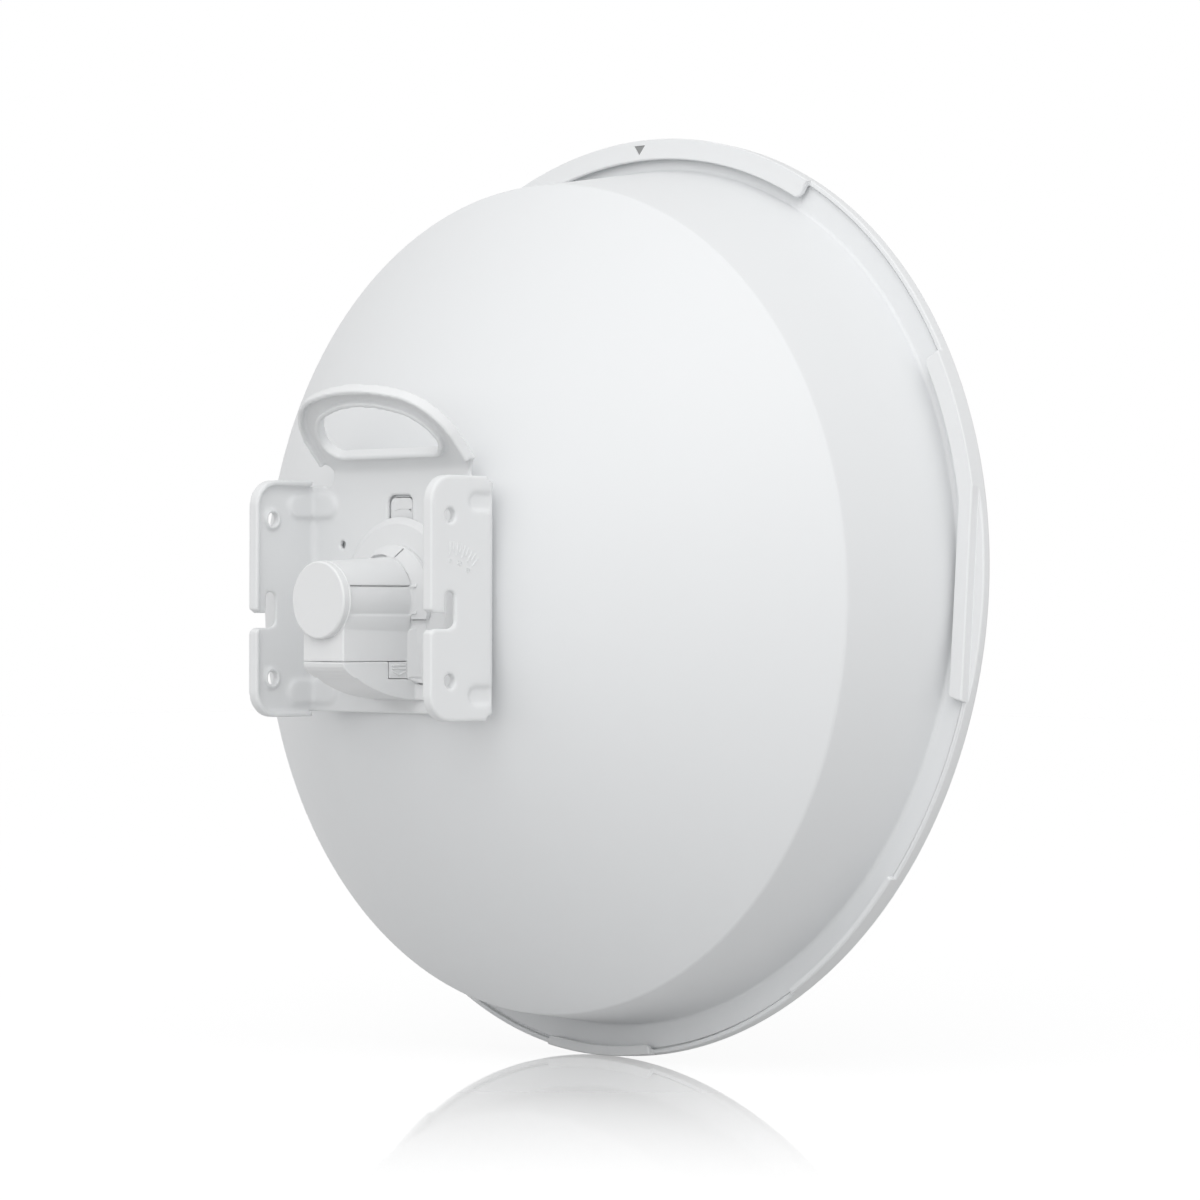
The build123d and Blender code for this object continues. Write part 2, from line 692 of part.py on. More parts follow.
with BuildPart() as cable_door:
    with BuildSketch(Plane.YZ) as door_side:
        with BuildLine():
            drop = door_depth + door_top
            length = tube_rear - plate_back - door_gap
            rear = (tube_rear, door_top)
            root = (plate_back + door_gap, -door_depth)
            upper_turn = (tube_rear - 0.17 * length, door_top - 0.376 * drop)
            lower_turn = (tube_rear - 0.545 * length, door_top - 0.807 * drop)
            Spline(rear, upper_turn, lower_turn, root)
            Polyline(
                root, (plate_back + door_gap, -base_radius - door_gap),
                (base_top + door_gap, -neck_bottom - 1.0), (step_y + door_gap, -neck_bottom - door_gap),
                (step_y + door_gap, door_top), rear,
            )
        make_face()
    extrude(amount=box_half_width, both=True)
    with BuildSketch(Plane.YZ):
        with BuildLine():
            Spline(
                (tube_rear - door_wall, door_top + 1),
                (upper_turn[0] - 0.7 * door_wall, upper_turn[1] + 0.9 * door_wall),
                (lower_turn[0] - 0.1 * door_wall, lower_turn[1] + door_wall),
                (plate_back + door_gap + door_wall, 1.05 * door_wall - door_depth),
            )
            Polyline(
                (plate_back + door_gap + door_wall, 1.05 * door_wall - door_depth),
                (plate_back + door_gap + door_wall, -neck_bottom - 2),
                (step_y + door_gap, -neck_bottom - 2), (step_y + door_gap, door_top + 1),
                (tube_rear - door_wall, door_top + 1),
            )
        make_face()
    extrude(amount=box_half_width - door_wall, both=True, mode=Mode.SUBTRACT)
    # the latch corners of both sides, and the cable's way out beside the plate
    with BuildSketch(Plane.YZ):
        with Locations((step_y + door_gap, door_top)):
            Rectangle(
                2 * latch_length + 2 * door_gap, 2 * (latch_height + door_gap),
            )
    extrude(amount=box_half_width + 1, both=True, mode=Mode.SUBTRACT)
    with BuildSketch(Plane.XY.offset(-door_depth + 6)):
        with Locations((0, plate_back + cable_diameter / 2 + 3)):
            SlotOverall(cable_diameter + 3, cable_diameter)
    extrude(amount=-12, mode=Mode.SUBTRACT)
write(cable_door, "cable_door")

for side, name in ((1, "door_latch_left"), (-1, "door_latch_right")):
    with BuildPart() as door_latch:
        with BuildSketch(Plane.YZ.offset(side * box_half_width)):
            with Locations((step_y + latch_length / 2, door_top - latch_height / 2)):
                Rectangle(latch_length - door_gap, latch_height - door_gap)
        extrude(amount=-side * (door_wall - 0.2))
    write(door_latch, name)

with BuildPart() as release_latch:
    with BuildSketch(slice_at(plate_back - door_gap)):
        with Locations((0, (tongue_top + latch_window_bottom + 1) / 2)):
            RectangleRounded(tongue_width, tongue_top - latch_window_bottom - 1, 1.5)
    extrude(amount=tongue_thickness)
write(release_latch, "release_latch")

# ---------------------------------------------------------------- electronics
board_length = board_rear - feed_front - 1.0
with BuildPart() as radio_board:
    with BuildSketch(Plane.XY.offset(board_thickness / 2)):
        with Locations((0, board_rear - board_length / 2)):
            Rectangle(board_width, board_length)
    extrude(amount=-board_thickness)
write(radio_board, "radio_board")


def shield(width, length, height, wall):
    # an open tray turned over on the board
    Box(width, length, height, align=(Align.CENTER, Align.CENTER, Align.MIN))
    Box(
        width - 2 * wall, length - 2 * wall, height - wall,
        align=(Align.CENTER, Align.CENTER, Align.MIN), mode=Mode.SUBTRACT,
    )


with BuildPart() as radio_shield:
    with Locations((0, radio_place, board_top)):
        shield(*radio_can, shield_height, shield_wall)
write(radio_shield, "radio_shield")

with BuildPart() as processor_shield:
    with Locations((0, processor_place, board_top)):
        shield(*processor_can, shield_height, shield_wall)
write(processor_shield, "processor_shield")

with BuildPart() as radio_chips:
    with Locations((0, radio_place, board_top)):
        with GridLocations(0, 2 * chip_offset, 1, 2):
            Box(8, 8, 1.2, align=(Align.CENTER, Align.CENTER, Align.MIN))
    with Locations((0, processor_place, board_top)):
        Box(13, 13, 1.4, align=(Align.CENTER, Align.CENTER, Align.MIN))
write(radio_chips, "radio_chips")

with BuildPart() as thermal_pad:
    pad_base = board_top + shield_height
    with Locations((0, radio_place, pad_base)):
        Box(*pad_size, pad_thickness, align=(Align.CENTER, Align.CENTER, Align.MIN))
write(thermal_pad, "thermal_pad")

with BuildPart() as heat_spreader:
    spreader_base = pad_base + pad_thickness
    fin_base = spreader_base + spreader_thickness
    fin_edge = (fin_count - 1) / 2 * fin_spacing + fin_thickness / 2
    fin_height = sqrt(feed_inside**2 - fin_edge**2) - fin_base - fin_clearance
    with Locations((0, radio_place, spreader_base)):
        Box(*spreader_size, spreader_thickness, align=(Align.CENTER, Align.CENTER, Align.MIN))
    with Locations((0, radio_place, fin_base)):
        with GridLocations(fin_spacing, 0, fin_count, 1):
            Box(fin_thickness, spreader_size[1], fin_height, align=(Align.CENTER, Align.CENTER, Align.MIN))
write(heat_spreader, "heat_spreader")

with BuildPart() as lan_transformer:
    with Locations((0, transformer_place, board_top)):
        Box(15, 9, 6, align=(Align.CENTER, Align.CENTER, Align.MIN))
    fillet(lan_transformer.edges().filter_by(Axis.Z), 1.0)
write(lan_transformer, "lan_transformer")

jack_top = -board_top
with BuildPart() as network_jack:
    with Locations((0, 0, jack_top)):
        Box(*jack_size, align=(Align.CENTER, Align.CENTER, Align.MAX))
    jack_mouth = jack_top - jack_size[2]
    with Locations((0, 0, jack_mouth)):
        Box(*socket_size, align=(Align.CENTER, Align.CENTER, Align.MIN), mode=Mode.SUBTRACT)
    with Locations((0, socket_size[1] / 2, jack_mouth)):
        Box(6.4, 3.2, 9.0, align=(Align.CENTER, Align.CENTER, Align.MIN), mode=Mode.SUBTRACT)
write(network_jack, "network_jack")

with BuildPart() as jack_contacts:
    with Locations((0, 0.3 - socket_size[1] / 2, jack_mouth + 3)):
        with GridLocations(1.02, 0, 8, 1):
            Box(0.5, 0.4, 9, align=(Align.CENTER, Align.CENTER, Align.MIN))
write(jack_contacts, "jack_contacts")

with BuildPart() as reset_switch:
    with Locations((0, button_place, jack_top)):
        Box(6, 6, 3.2, align=(Align.CENTER, Align.CENTER, Align.MAX))
write(reset_switch, "reset_switch")

button_top = jack_top - 3.2 - button_travel - 0.1
with BuildPart() as reset_button:
    with BuildSketch(Plane.XY.offset(button_top)):
        with Locations((0, button_place)):
            Circle(button_diameter / 2)
    extrude(amount=-(floor_depth + floor_thickness + 0.6 + button_top))
    with BuildSketch(Plane.XY.offset(fit_gap - floor_depth)):
        with Locations((0, button_place)):
            Circle(button_diameter / 2 + 1.0)
    extrude(amount=1.2)
write(reset_button, "reset_button")

with BuildPart() as status_lamps:
    with BuildSketch(Plane.XY.offset(jack_top)):
        with Locations(*lamp_spots):
            Rectangle(1.6, 1.2)
    extrude(amount=-0.9)
write(status_lamps, "status_lamps")

with BuildPart() as light_pipes:
    with BuildSketch(Plane.XY.offset(jack_top - 1.1)):
        with Locations(*lamp_spots):
            Circle(lamp_radius)
    extrude(amount=-(floor_depth + floor_thickness + jack_top - 1.1 + 0.2))
write(light_pipes, "light_pipes")

# ---------------------------------------------------------------- feed, antenna side
with BuildPart() as feed_tube:
    with BuildSketch(slice_at(plate_back - 1)):
        Circle(feed_radius)
        Circle(feed_radius - feed_wall, mode=Mode.SUBTRACT)
    extrude(amount=plate_back - 1 - feed_front)
    shoulder_start = plate_back - spigot_length - fit_gap
    with BuildSketch(slice_at(shoulder_start)):
        Circle(spigot_radius)
        Circle(feed_radius - 0.5, mode=Mode.SUBTRACT)
    extrude(amount=2.5)
    # four rails that carry the board's edges
    rail_inner = board_width / 2 - rail_bite
    rail_outer = feed_radius - feed_wall / 2
    for side in (-1, 1):
        for level in (-1, 1):
            with BuildSketch(slice_at(rail_start)):
                rail_level = board_top + rail_gap + rail_height / 2
                with Locations((side * (rail_inner + rail_outer) / 2, level * rail_level)):
                    Rectangle(rail_outer - rail_inner, rail_height)
            extrude(amount=rail_length)
write(feed_tube, "feed_tube")

with BuildPart() as feed_seal:
    with BuildSketch(Plane.XY):
        with Locations((spigot_radius + 1.3, dish_seat_inside - 1.25)):
            Circle(1.15)
    revolve(axis=Axis.Y)
write(feed_seal, "feed_seal")

with BuildPart() as dipole_cross:
    dipole_rear = feed_front - 0.9
    for tall in (False, True):
        with BuildSketch(slice_at(dipole_rear)):
            Rectangle(1.0 if tall else 30.0, 30.0 if tall else 1.0)
        extrude(amount=dipole_rear - reflector_distance - 1.8)
write(dipole_cross, "dipole_cross")

with BuildPart() as sub_reflector:
    with BuildSketch(slice_at(reflector_distance + 1.5)):
        Circle(feed_cap_radius - feed_cap_wall - 0.4)
    extrude(amount=1.5)
write(sub_reflector, "sub_reflector")

with BuildPart() as feed_cap:
    cap_rear = feed_front + 2.0
    with BuildSketch(slice_at(cap_rear)):
        Circle(feed_cap_radius)
    extrude(amount=cap_rear - feed_cap_front)
    fillet(feed_cap.edges().sort_by(Axis.Y)[0], 4.0)
    with BuildSketch(slice_at(cap_rear - feed_cap_wall)):
        Circle(feed_cap_radius - feed_cap_wall)
    extrude(amount=cap_rear - feed_cap_front - 2 * feed_cap_wall, mode=Mode.SUBTRACT)
    with BuildSketch(slice_at(cap_rear)):
        Circle(feed_radius + fit_gap)
    extrude(amount=feed_cap_wall, mode=Mode.SUBTRACT)
write(feed_cap, "feed_cap")
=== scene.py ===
import math

import bmesh
import bpy
from mathutils import Matrix, Vector
from mathutils.bvhtree import BVHTree


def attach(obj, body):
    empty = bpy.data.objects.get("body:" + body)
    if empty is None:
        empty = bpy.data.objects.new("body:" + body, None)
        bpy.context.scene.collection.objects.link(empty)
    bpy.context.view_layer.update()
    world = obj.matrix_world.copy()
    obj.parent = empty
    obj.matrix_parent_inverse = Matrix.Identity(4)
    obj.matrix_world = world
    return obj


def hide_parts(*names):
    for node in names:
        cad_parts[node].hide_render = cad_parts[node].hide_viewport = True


# Outdoor wireless bridge seen from its pole side. Sizes are millimetres until a mesh is made, then metres.
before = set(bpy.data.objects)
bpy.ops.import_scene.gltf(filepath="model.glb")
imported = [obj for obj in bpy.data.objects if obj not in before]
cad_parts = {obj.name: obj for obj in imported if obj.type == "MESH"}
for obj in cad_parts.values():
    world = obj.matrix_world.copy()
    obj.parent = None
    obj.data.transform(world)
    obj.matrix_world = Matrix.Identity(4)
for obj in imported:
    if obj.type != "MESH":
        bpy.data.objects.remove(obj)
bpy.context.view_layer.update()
scene = bpy.context.scene
mm = 0.001
print("frame loaded")


# helpers for meshes
def roundedLine(corners, radii, steps=4):
    # each corner becomes an arc of the same number of points; a radius of None keeps a bare point
    tiny, legShare = 1e-4, 0.45  # an arc takes at most that share of each leg
    line = []
    for i, (corner, radius) in enumerate(zip(corners, radii)):
        if radius is None:
            line.append(corner.copy())
            continue
        before = next((c for c in reversed(corners[:i]) if (c - corner).length > tiny), None)
        after = next((c for c in corners[i + 1:] if (c - corner).length > tiny), None)
        if before is None or after is None:
            line += [corner.copy() for _ in range(steps + 1)]
            continue
        repeated = (corners[i - 1] - corner).length <= tiny
        inward, outward = before - corner, after - corner
        turn = math.pi - inward.angle(outward)
        cut = min(radius * math.tan(turn / 2), legShare * inward.length, legShare * outward.length)
        start = corner + inward.normalized() * cut
        end = corner + outward.normalized() * cut
        for k in range(steps + 1):
            u = 1 if repeated else k / steps
            a, b, c = (1 - u) ** 2, 2 * u * (1 - u) * math.cos(turn / 2), u * u
            line.append((start * a + corner * b + end * c) / (a + b + c))
    return line


def sectionMesh(name, columns):
    # a closed ring of closed sections, joined by quads
    rows, count = len(columns[0]), len(columns)
    points = [point * mm for column in columns for point in column]
    faces = []
    for i in range(count):
        here, there = i * rows, (i + 1) % count * rows
        for j in range(rows):
            k = (j + 1) % rows
            faces.append((here + j, here + k, there + k, there + j))
    mesh = bpy.data.meshes.new(name)
    mesh.from_pydata([tuple(p) for p in points], [], faces)
    tidyMesh(mesh)
    return mesh


def tidyMesh(mesh, weld=2e-6):
    work = bmesh.new()
    work.from_mesh(mesh)
    bmesh.ops.remove_doubles(work, verts=work.verts, dist=weld)
    bmesh.ops.dissolve_degenerate(work, edges=work.edges, dist=weld / 2)
    bmesh.ops.recalc_face_normals(work, faces=work.faces)
    if work.calc_volume(signed=True) < 0:
        bmesh.ops.reverse_faces(work, faces=work.faces)
    work.to_mesh(mesh)
    work.free()


def addObject(name, mesh):
    piece = bpy.data.objects.new(name, mesh)
    scene.collection.objects.link(piece)
    return piece


def finalMesh(piece):
    # what the modifiers make, as a plain mesh
    bpy.context.view_layer.update()
    made = bpy.data.meshes.new_from_object(piece.evaluated_get(bpy.context.evaluated_depsgraph_get()))
    piece.modifiers.clear()
    piece.data = made
    return piece


def smoothShade(piece, angle=38, weighted=True):
    piece.data.polygons.foreach_set("use_smooth", [True] * len(piece.data.polygons))
    piece.data.set_sharp_from_angle(angle=math.radians(angle))
    if weighted:
        even = piece.modifiers.new("evenNormals", "WEIGHTED_NORMAL")
        even.keep_sharp = True
        finalMesh(piece)


def settle(piece, material, body, slot, *nodes):
    piece.data.materials.clear()
    piece.data.materials.append(material)
    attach(piece, body)
    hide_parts(*nodes)
    return piece


def turnedMesh(name, profile, radii, columns=160, steps=4):
    # a closed profile of (radius, y) turned about the Y axis
    line = roundedLine([Vector((r, y, 0)) for r, y in profile], radii, steps)
    rings = []
    for i in range(columns):
        turn = 2 * math.pi * i / columns
        rings.append([Vector((p.x * math.cos(turn), p.y, p.x * math.sin(turn))) for p in line])
    return sectionMesh(name, rings)


def cutAway(piece, cutters):
    # cutters is one mesh of closed shapes
    tool = addObject("cutter", cutters)
    cut = piece.modifiers.new("cut", "BOOLEAN")
    cut.operation = "DIFFERENCE"
    cut.solver = "EXACT"
    cut.object = tool
    finalMesh(piece)
    bpy.data.objects.remove(tool)


def prismMesh(name, outlines):
    # each outline is (list of corners, push): a flat outline pushed along a vector
    points, faces = [], []
    for corners, push in outlines:
        first, count = len(points), len(corners)
        points += [corner * mm for corner in corners] + [(corner + push) * mm for corner in corners]
        faces.append(tuple(range(first, first + count)))
        faces.append(tuple(reversed(range(first + count, first + 2 * count))))
        for i in range(count):
            k = (i + 1) % count
            faces.append((first + i, first + count + i, first + count + k, first + k))
    mesh = bpy.data.meshes.new(name)
    mesh.from_pydata([tuple(p) for p in points], [], faces)
    work = bmesh.new()
    work.from_mesh(mesh)
    bmesh.ops.recalc_face_normals(work, faces=work.faces)
    work.to_mesh(mesh)
    work.free()
    return mesh


def softCopy(name, node, cell, passes=4, extra=None, cutters=None, grow=0.0):
    # the node's own shape in fine cells, its edges worn soft, its flats kept exactly flat
    sharp = bmesh.new()
    sharp.from_mesh(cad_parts[node].data)
    bmesh.ops.remove_doubles(sharp, verts=sharp.verts, dist=1e-6)
    if extra:
        sharp.from_mesh(extra)
    if grow:
        sharp.normal_update()
        for vertex in sharp.verts:
            vertex.co += vertex.normal * grow * mm
    plain = bpy.data.meshes.new(name)
    sharp.to_mesh(plain)
    piece = addObject(name, plain)
    if cutters:
        cutAway(piece, cutters)
        sharp.clear()
        sharp.from_mesh(piece.data)
    cells = piece.modifiers.new("cells", "REMESH")
    cells.mode = "VOXEL"
    cells.voxel_size = cell * mm
    soften = piece.modifiers.new("soften", "SMOOTH")
    soften.factor = 0.5
    soften.iterations = passes
    finalMesh(piece)
    surface = BVHTree.FromBMesh(sharp)
    # a point nearer than the first lies on a flat, one further than the second on a worn edge
    near, far = 0.08 * cell * mm, 0.25 * cell * mm
    for vertex in piece.data.vertices:
        spot, _, _, gap = surface.find_nearest(vertex.co)
        if gap < far:
            vertex.co = vertex.co.lerp(spot, min(1, (far - gap) / (far - near)))
    sharp.free()
    smoothShade(piece, 180, False)
    return piece


# node groups that several finishes share
def newGroup(name, sockets):
    group = bpy.data.node_groups.new(name, "ShaderNodeTree")
    for direction, socketKind, socketName, value in sockets:
        socket = group.interface.new_socket(name=socketName, in_out=direction, socket_type=socketKind)
        if value is not None:
            socket.default_value = value
    return group, group.nodes.new("NodeGroupInput"), group.nodes.new("NodeGroupOutput")


def addNode(tree, kind, **values):
    node = tree.nodes.new(kind)
    for key, value in values.items():
        setattr(node, key, value)
    return node


def mathNode(tree, operation, first, second):
    node = addNode(tree, "ShaderNodeMath", operation=operation)
    for socket, value in zip(node.inputs, (first, second)):
        if isinstance(value, (int, float)):
            socket.default_value = value
        else:
            tree.links.new(value, socket)
    return node.outputs[0]


def noiseNode(tree, place, scale, detail, roughness=0.5):
    noise = addNode(tree, "ShaderNodeTexNoise")
    tree.links.new(place, noise.inputs["Vector"])
    if isinstance(scale, (int, float)):
        noise.inputs["Scale"].default_value = scale
    else:
        tree.links.new(scale, noise.inputs["Scale"])
    noise.inputs["Detail"].default_value = detail
    noise.inputs["Roughness"].default_value = roughness
    return noise.outputs["Fac"]


grain = {"waveScale": 0.18, "fineShare": 0.6, "waveShare": 0.4, "fineDetail": 3.0, "waveDetail": 2.0}
dustAndSheen = {
    "patchScale": 7.0, "patchDetail": 5.0, "patchRoughness": 0.6, "streakScale": 60.0, "streakDetail": 3.0,
    "stretch": (1.0, 1.0, 0.12), "strength": 4.0, "ridgeStart": 0.52, "ridgeGain": 9.0,
}


def buildGrain():
    # the fine peel of powder coat or of a sparked mould: a height and a little change of roughness
    group, inputs, outputs = newGroup("surfaceGrain", [
        ("INPUT", "NodeSocketVector", "Place", None),
        ("INPUT", "NodeSocketFloat", "Scale", 900.0),
        ("INPUT", "NodeSocketFloat", "Roughness", 0.45),
        ("INPUT", "NodeSocketFloat", "Spread", 0.08),
        ("OUTPUT", "NodeSocketFloat", "Height", None),
        ("OUTPUT", "NodeSocketFloat", "Roughness", None),
    ])
    fine = noiseNode(group, inputs.outputs["Place"], inputs.outputs["Scale"], grain["fineDetail"])
    waveScale = mathNode(group, "MULTIPLY", inputs.outputs["Scale"], grain["waveScale"])
    wave = noiseNode(group, inputs.outputs["Place"], waveScale, grain["waveDetail"])
    fineHeight = mathNode(group, "MULTIPLY", fine, grain["fineShare"])
    height = mathNode(group, "ADD", fineHeight, mathNode(group, "MULTIPLY", wave, grain["waveShare"]))
    shift = mathNode(group, "MULTIPLY", mathNode(group, "SUBTRACT", wave, 0.5), inputs.outputs["Spread"])
    group.links.new(height, outputs.inputs["Height"])
    group.links.new(mathNode(group, "ADD", inputs.outputs["Roughness"], shift), outputs.inputs["Roughness"])
    return group


def buildWeather():
    # a film of dust in soft patches and upright streaks, and edges made lighter by a painted highlight
    group, inputs, outputs = newGroup("dustAndEdgeSheen", [
        ("INPUT", "NodeSocketVector", "Place", None),
        ("INPUT", "NodeSocketColor", "Clean", (0.8, 0.8, 0.8, 1)),
        ("INPUT", "NodeSocketColor", "Dust", (0.6, 0.6, 0.57, 1)),
        ("INPUT", "NodeSocketColor", "Rubbed", (0.9, 0.9, 0.9, 1)),
        ("INPUT", "NodeSocketFloat", "Amount", 0.1),
        ("INPUT", "NodeSocketFloat", "Wear", 0.2),
        ("OUTPUT", "NodeSocketColor", "Color", None),
    ])
    place = inputs.outputs["Place"]
    patches = noiseNode(
        group, place, dustAndSheen["patchScale"], dustAndSheen["patchDetail"], dustAndSheen["patchRoughness"]
    )
    stretch = addNode(group, "ShaderNodeMapping")
    stretch.inputs["Scale"].default_value = dustAndSheen["stretch"]
    group.links.new(place, stretch.inputs["Vector"])
    streaks = noiseNode(group, stretch.outputs["Vector"], dustAndSheen["streakScale"], dustAndSheen["streakDetail"])
    soiled = mathNode(group, "MULTIPLY", patches, streaks)
    strong = mathNode(group, "MULTIPLY", soiled, dustAndSheen["strength"])
    amount = mathNode(group, "MULTIPLY", strong, inputs.outputs["Amount"])
    # where Pointiness is high, the edges get a painted highlight
    edges = addNode(group, "ShaderNodeNewGeometry")
    ridge = mathNode(group, "SUBTRACT", edges.outputs["Pointiness"], dustAndSheen["ridgeStart"])
    ridge = mathNode(group, "MULTIPLY", ridge, dustAndSheen["ridgeGain"])
    edgeSheen = mathNode(group, "MULTIPLY", addClamp(group, ridge), inputs.outputs["Wear"])
    dusted = mixColor(group, amount, inputs.outputs["Clean"], inputs.outputs["Dust"])
    edgeLit = mixColor(group, edgeSheen, dusted, inputs.outputs["Rubbed"])
    group.links.new(edgeLit, outputs.inputs["Color"])
    return group


def addClamp(tree, value):
    node = addNode(tree, "ShaderNodeClamp")
    tree.links.new(value, node.inputs["Value"])
    return node.outputs["Result"]


def mixColor(tree, share, first, second):
    # sockets 0, 6 and 7 are the factor and the two colours
    node = addNode(tree, "ShaderNodeMix", data_type="RGBA")
    tree.links.new(share, node.inputs[0])
    tree.links.new(first, node.inputs[6])
    tree.links.new(second, node.inputs[7])
    return node.outputs[2]


grainGroup = buildGrain()
dustAndSheenGroup = buildWeather()


def addGroup(tree, group, place, **values):
    node = addNode(tree, "ShaderNodeGroup", node_tree=group)
    tree.links.new(place, node.inputs["Place"])
    for key, value in values.items():
        node.inputs[key].default_value = value
    return node


def shaderOf(name):
    material = bpy.data.materials.new(name)
    material.use_nodes = True
    tree = material.node_tree
    place = addNode(tree, "ShaderNodeTexCoord").outputs["Object"]
    return material, tree, tree.nodes["Principled BSDF"], place


def bumpFrom(tree, height, shader, strength, distance):
    bump = addNode(tree, "ShaderNodeBump")
    bump.inputs["Strength"].default_value = strength
    bump.inputs["Distance"].default_value = distance
    tree.links.new(height, bump.inputs["Height"])
    tree.links.new(bump.outputs["Normal"], shader.inputs["Normal"])


finishes = {
    # colour, dust colour, dust film, painted edge highlight, roughness, its spread, grain scale, grain height
    # mm, metal, coat
    "dishPaint": ((0.790, 0.802, 0.812), (0.70, 0.705, 0.70), 0.03, 0.20, 0.46, 0.10, 1100, 0.010, 0, 0.0),
    "bracketPaint": ((0.795, 0.805, 0.812), (0.69, 0.695, 0.69), 0.03, 0.35, 0.44, 0.12, 1400, 0.014, 0, 0.0),
    "radomePlastic": ((0.800, 0.810, 0.818), (0.70, 0.70, 0.69), 0.03, 0.15, 0.50, 0.08, 1900, 0.002, 0, 0.0),
    "housingPlastic": ((0.800, 0.808, 0.814), (0.69, 0.69, 0.685), 0.03, 0.15, 0.38, 0.08, 2600, 0.005, 0, 0),
    "capPlastic": ((0.795, 0.803, 0.809), (0.69, 0.69, 0.685), 0.03, 0.12, 0.34, 0.08, 3000, 0.004, 0, 0.0),
    "zincSteel": ((0.62, 0.62, 0.60), (0.45, 0.44, 0.40), 0.25, 0.5, 0.36, 0.25, 1500, 0.004, 1, 0.0),
    "bareAluminium": ((0.72, 0.73, 0.74), (0.55, 0.55, 0.54), 0.15, 0.3, 0.38, 0.25, 1200, 0.005, 1, 0.0),
    "tinnedShield": ((0.66, 0.66, 0.65), (0.50, 0.50, 0.48), 0.15, 0.3, 0.30, 0.20, 1700, 0.003, 1, 0.0),
    "blackEpoxy": ((0.020, 0.020, 0.022), (0.06, 0.06, 0.06), 0.2, 0.2, 0.50, 0.15, 3200, 0.005, 0, 0.0),
    "gapPad": ((0.30, 0.42, 0.55), (0.36, 0.44, 0.52), 0.2, 0.1, 0.75, 0.15, 1800, 0.015, 0, 0.0),
    "jackPlastic": ((0.035, 0.035, 0.037), (0.08, 0.08, 0.08), 0.1, 0.2, 0.40, 0.10, 2800, 0.004, 0, 0.0),
    "contactGold": ((0.86, 0.62, 0.24), (0.60, 0.45, 0.22), 0.1, 0.2, 0.24, 0.12, 2500, 0.001, 1, 0.0),
    "buttonPlastic": ((0.27, 0.275, 0.275), (0.34, 0.34, 0.34), 0.05, 0.2, 0.45, 0.10, 2600, 0.004, 0, 0.0),
    "lampPlastic": ((0.62, 0.72, 0.60), (0.60, 0.66, 0.58), 0.1, 0.1, 0.25, 0.10, 2600, 0.002, 0, 0.3),
    "sealRubber": ((0.025, 0.025, 0.027), (0.10, 0.10, 0.10), 0.2, 0.2, 0.70, 0.15, 2200, 0.010, 0, 0.0),
}
matte = 0.3  # specular level of paint and moulded plastic
edgeHighlightGain = 1.08  # how much lighter the painted edge highlight is


def buildFinish(name):
    clean, dust, amount, edgeSheen, roughness, spread, scale, height, metal, coat = finishes[name]
    material, tree, shader, place = shaderOf(name)
    skin = addGroup(tree, grainGroup, place, Scale=scale, Roughness=roughness, Spread=spread)
    # the colour of the painted edge highlight
    edgeLit = tuple(min(1, edgeHighlightGain * channel) for channel in clean)
    dustAndSheenNode = addGroup(
        tree, dustAndSheenGroup, place, Clean=(*clean, 1), Dust=(*dust, 1), Rubbed=(*edgeLit, 1),
        Amount=amount, Wear=edgeSheen,
    )
    tree.links.new(dustAndSheenNode.outputs["Color"], shader.inputs["Base Color"])
    tree.links.new(skin.outputs["Roughness"], shader.inputs["Roughness"])
    shader.inputs["Metallic"].default_value = metal
    shader.inputs["Coat Weight"].default_value = coat
    shader.inputs["Specular IOR Level"].default_value = 0.5 if metal else matte
    bumpFrom(tree, skin.outputs["Height"], shader, 0.6, height * mm)
    return material


board = {
    "scale": 160.0, "line": 0.03, "runLength": 0.9, "runHeight": 0.35, "relief": 0.03,
    "mask": (0.012, 0.085, 0.045, 1), "maskLight": (0.016, 0.100, 0.052, 1),
    "copper": (0.035, 0.150, 0.075, 1),
    "padScale": 330.0, "padSpread": 0.35, "padSize": 0.2, "tin": (0.55, 0.56, 0.54, 1), "roughness": 0.32,
}


def buildBoard():
    # solder mask with faint copper runs and tinned dots
    material, tree, shader, place = shaderOf("circuitBoard")
    runs = addNode(tree, "ShaderNodeTexBrick", offset=0.5)
    tree.links.new(place, runs.inputs["Vector"])
    for socket, key in (
        ("Scale", "scale"), ("Mortar Size", "line"), ("Brick Width", "runLength"),
        ("Row Height", "runHeight"), ("Color1", "mask"), ("Color2", "maskLight"), ("Mortar", "copper"),
    ):
        runs.inputs[socket].default_value = board[key]
    pads = addNode(tree, "ShaderNodeTexVoronoi")
    tree.links.new(place, pads.inputs["Vector"])
    pads.inputs["Scale"].default_value = board["padScale"]
    pads.inputs["Randomness"].default_value = board["padSpread"]
    dots = mathNode(tree, "LESS_THAN", pads.outputs["Distance"], board["padSize"])
    tin = addNode(tree, "ShaderNodeRGB")
    tin.outputs[0].default_value = board["tin"]
    tree.links.new(mixColor(tree, dots, runs.outputs["Color"], tin.outputs[0]), shader.inputs["Base Color"])
    skin = addGroup(tree, grainGroup, place, Scale=1800, Roughness=board["roughness"], Spread=0.1)
    tree.links.new(skin.outputs["Roughness"], shader.inputs["Roughness"])
    bumpFrom(tree, runs.outputs["Fac"], shader, 0.5, board["relief"] * mm)
    return material


clearPlastic = {"color": (0.93, 0.95, 0.95, 1), "transmission": 0.9, "ior": 1.49, "roughness": 0.08}


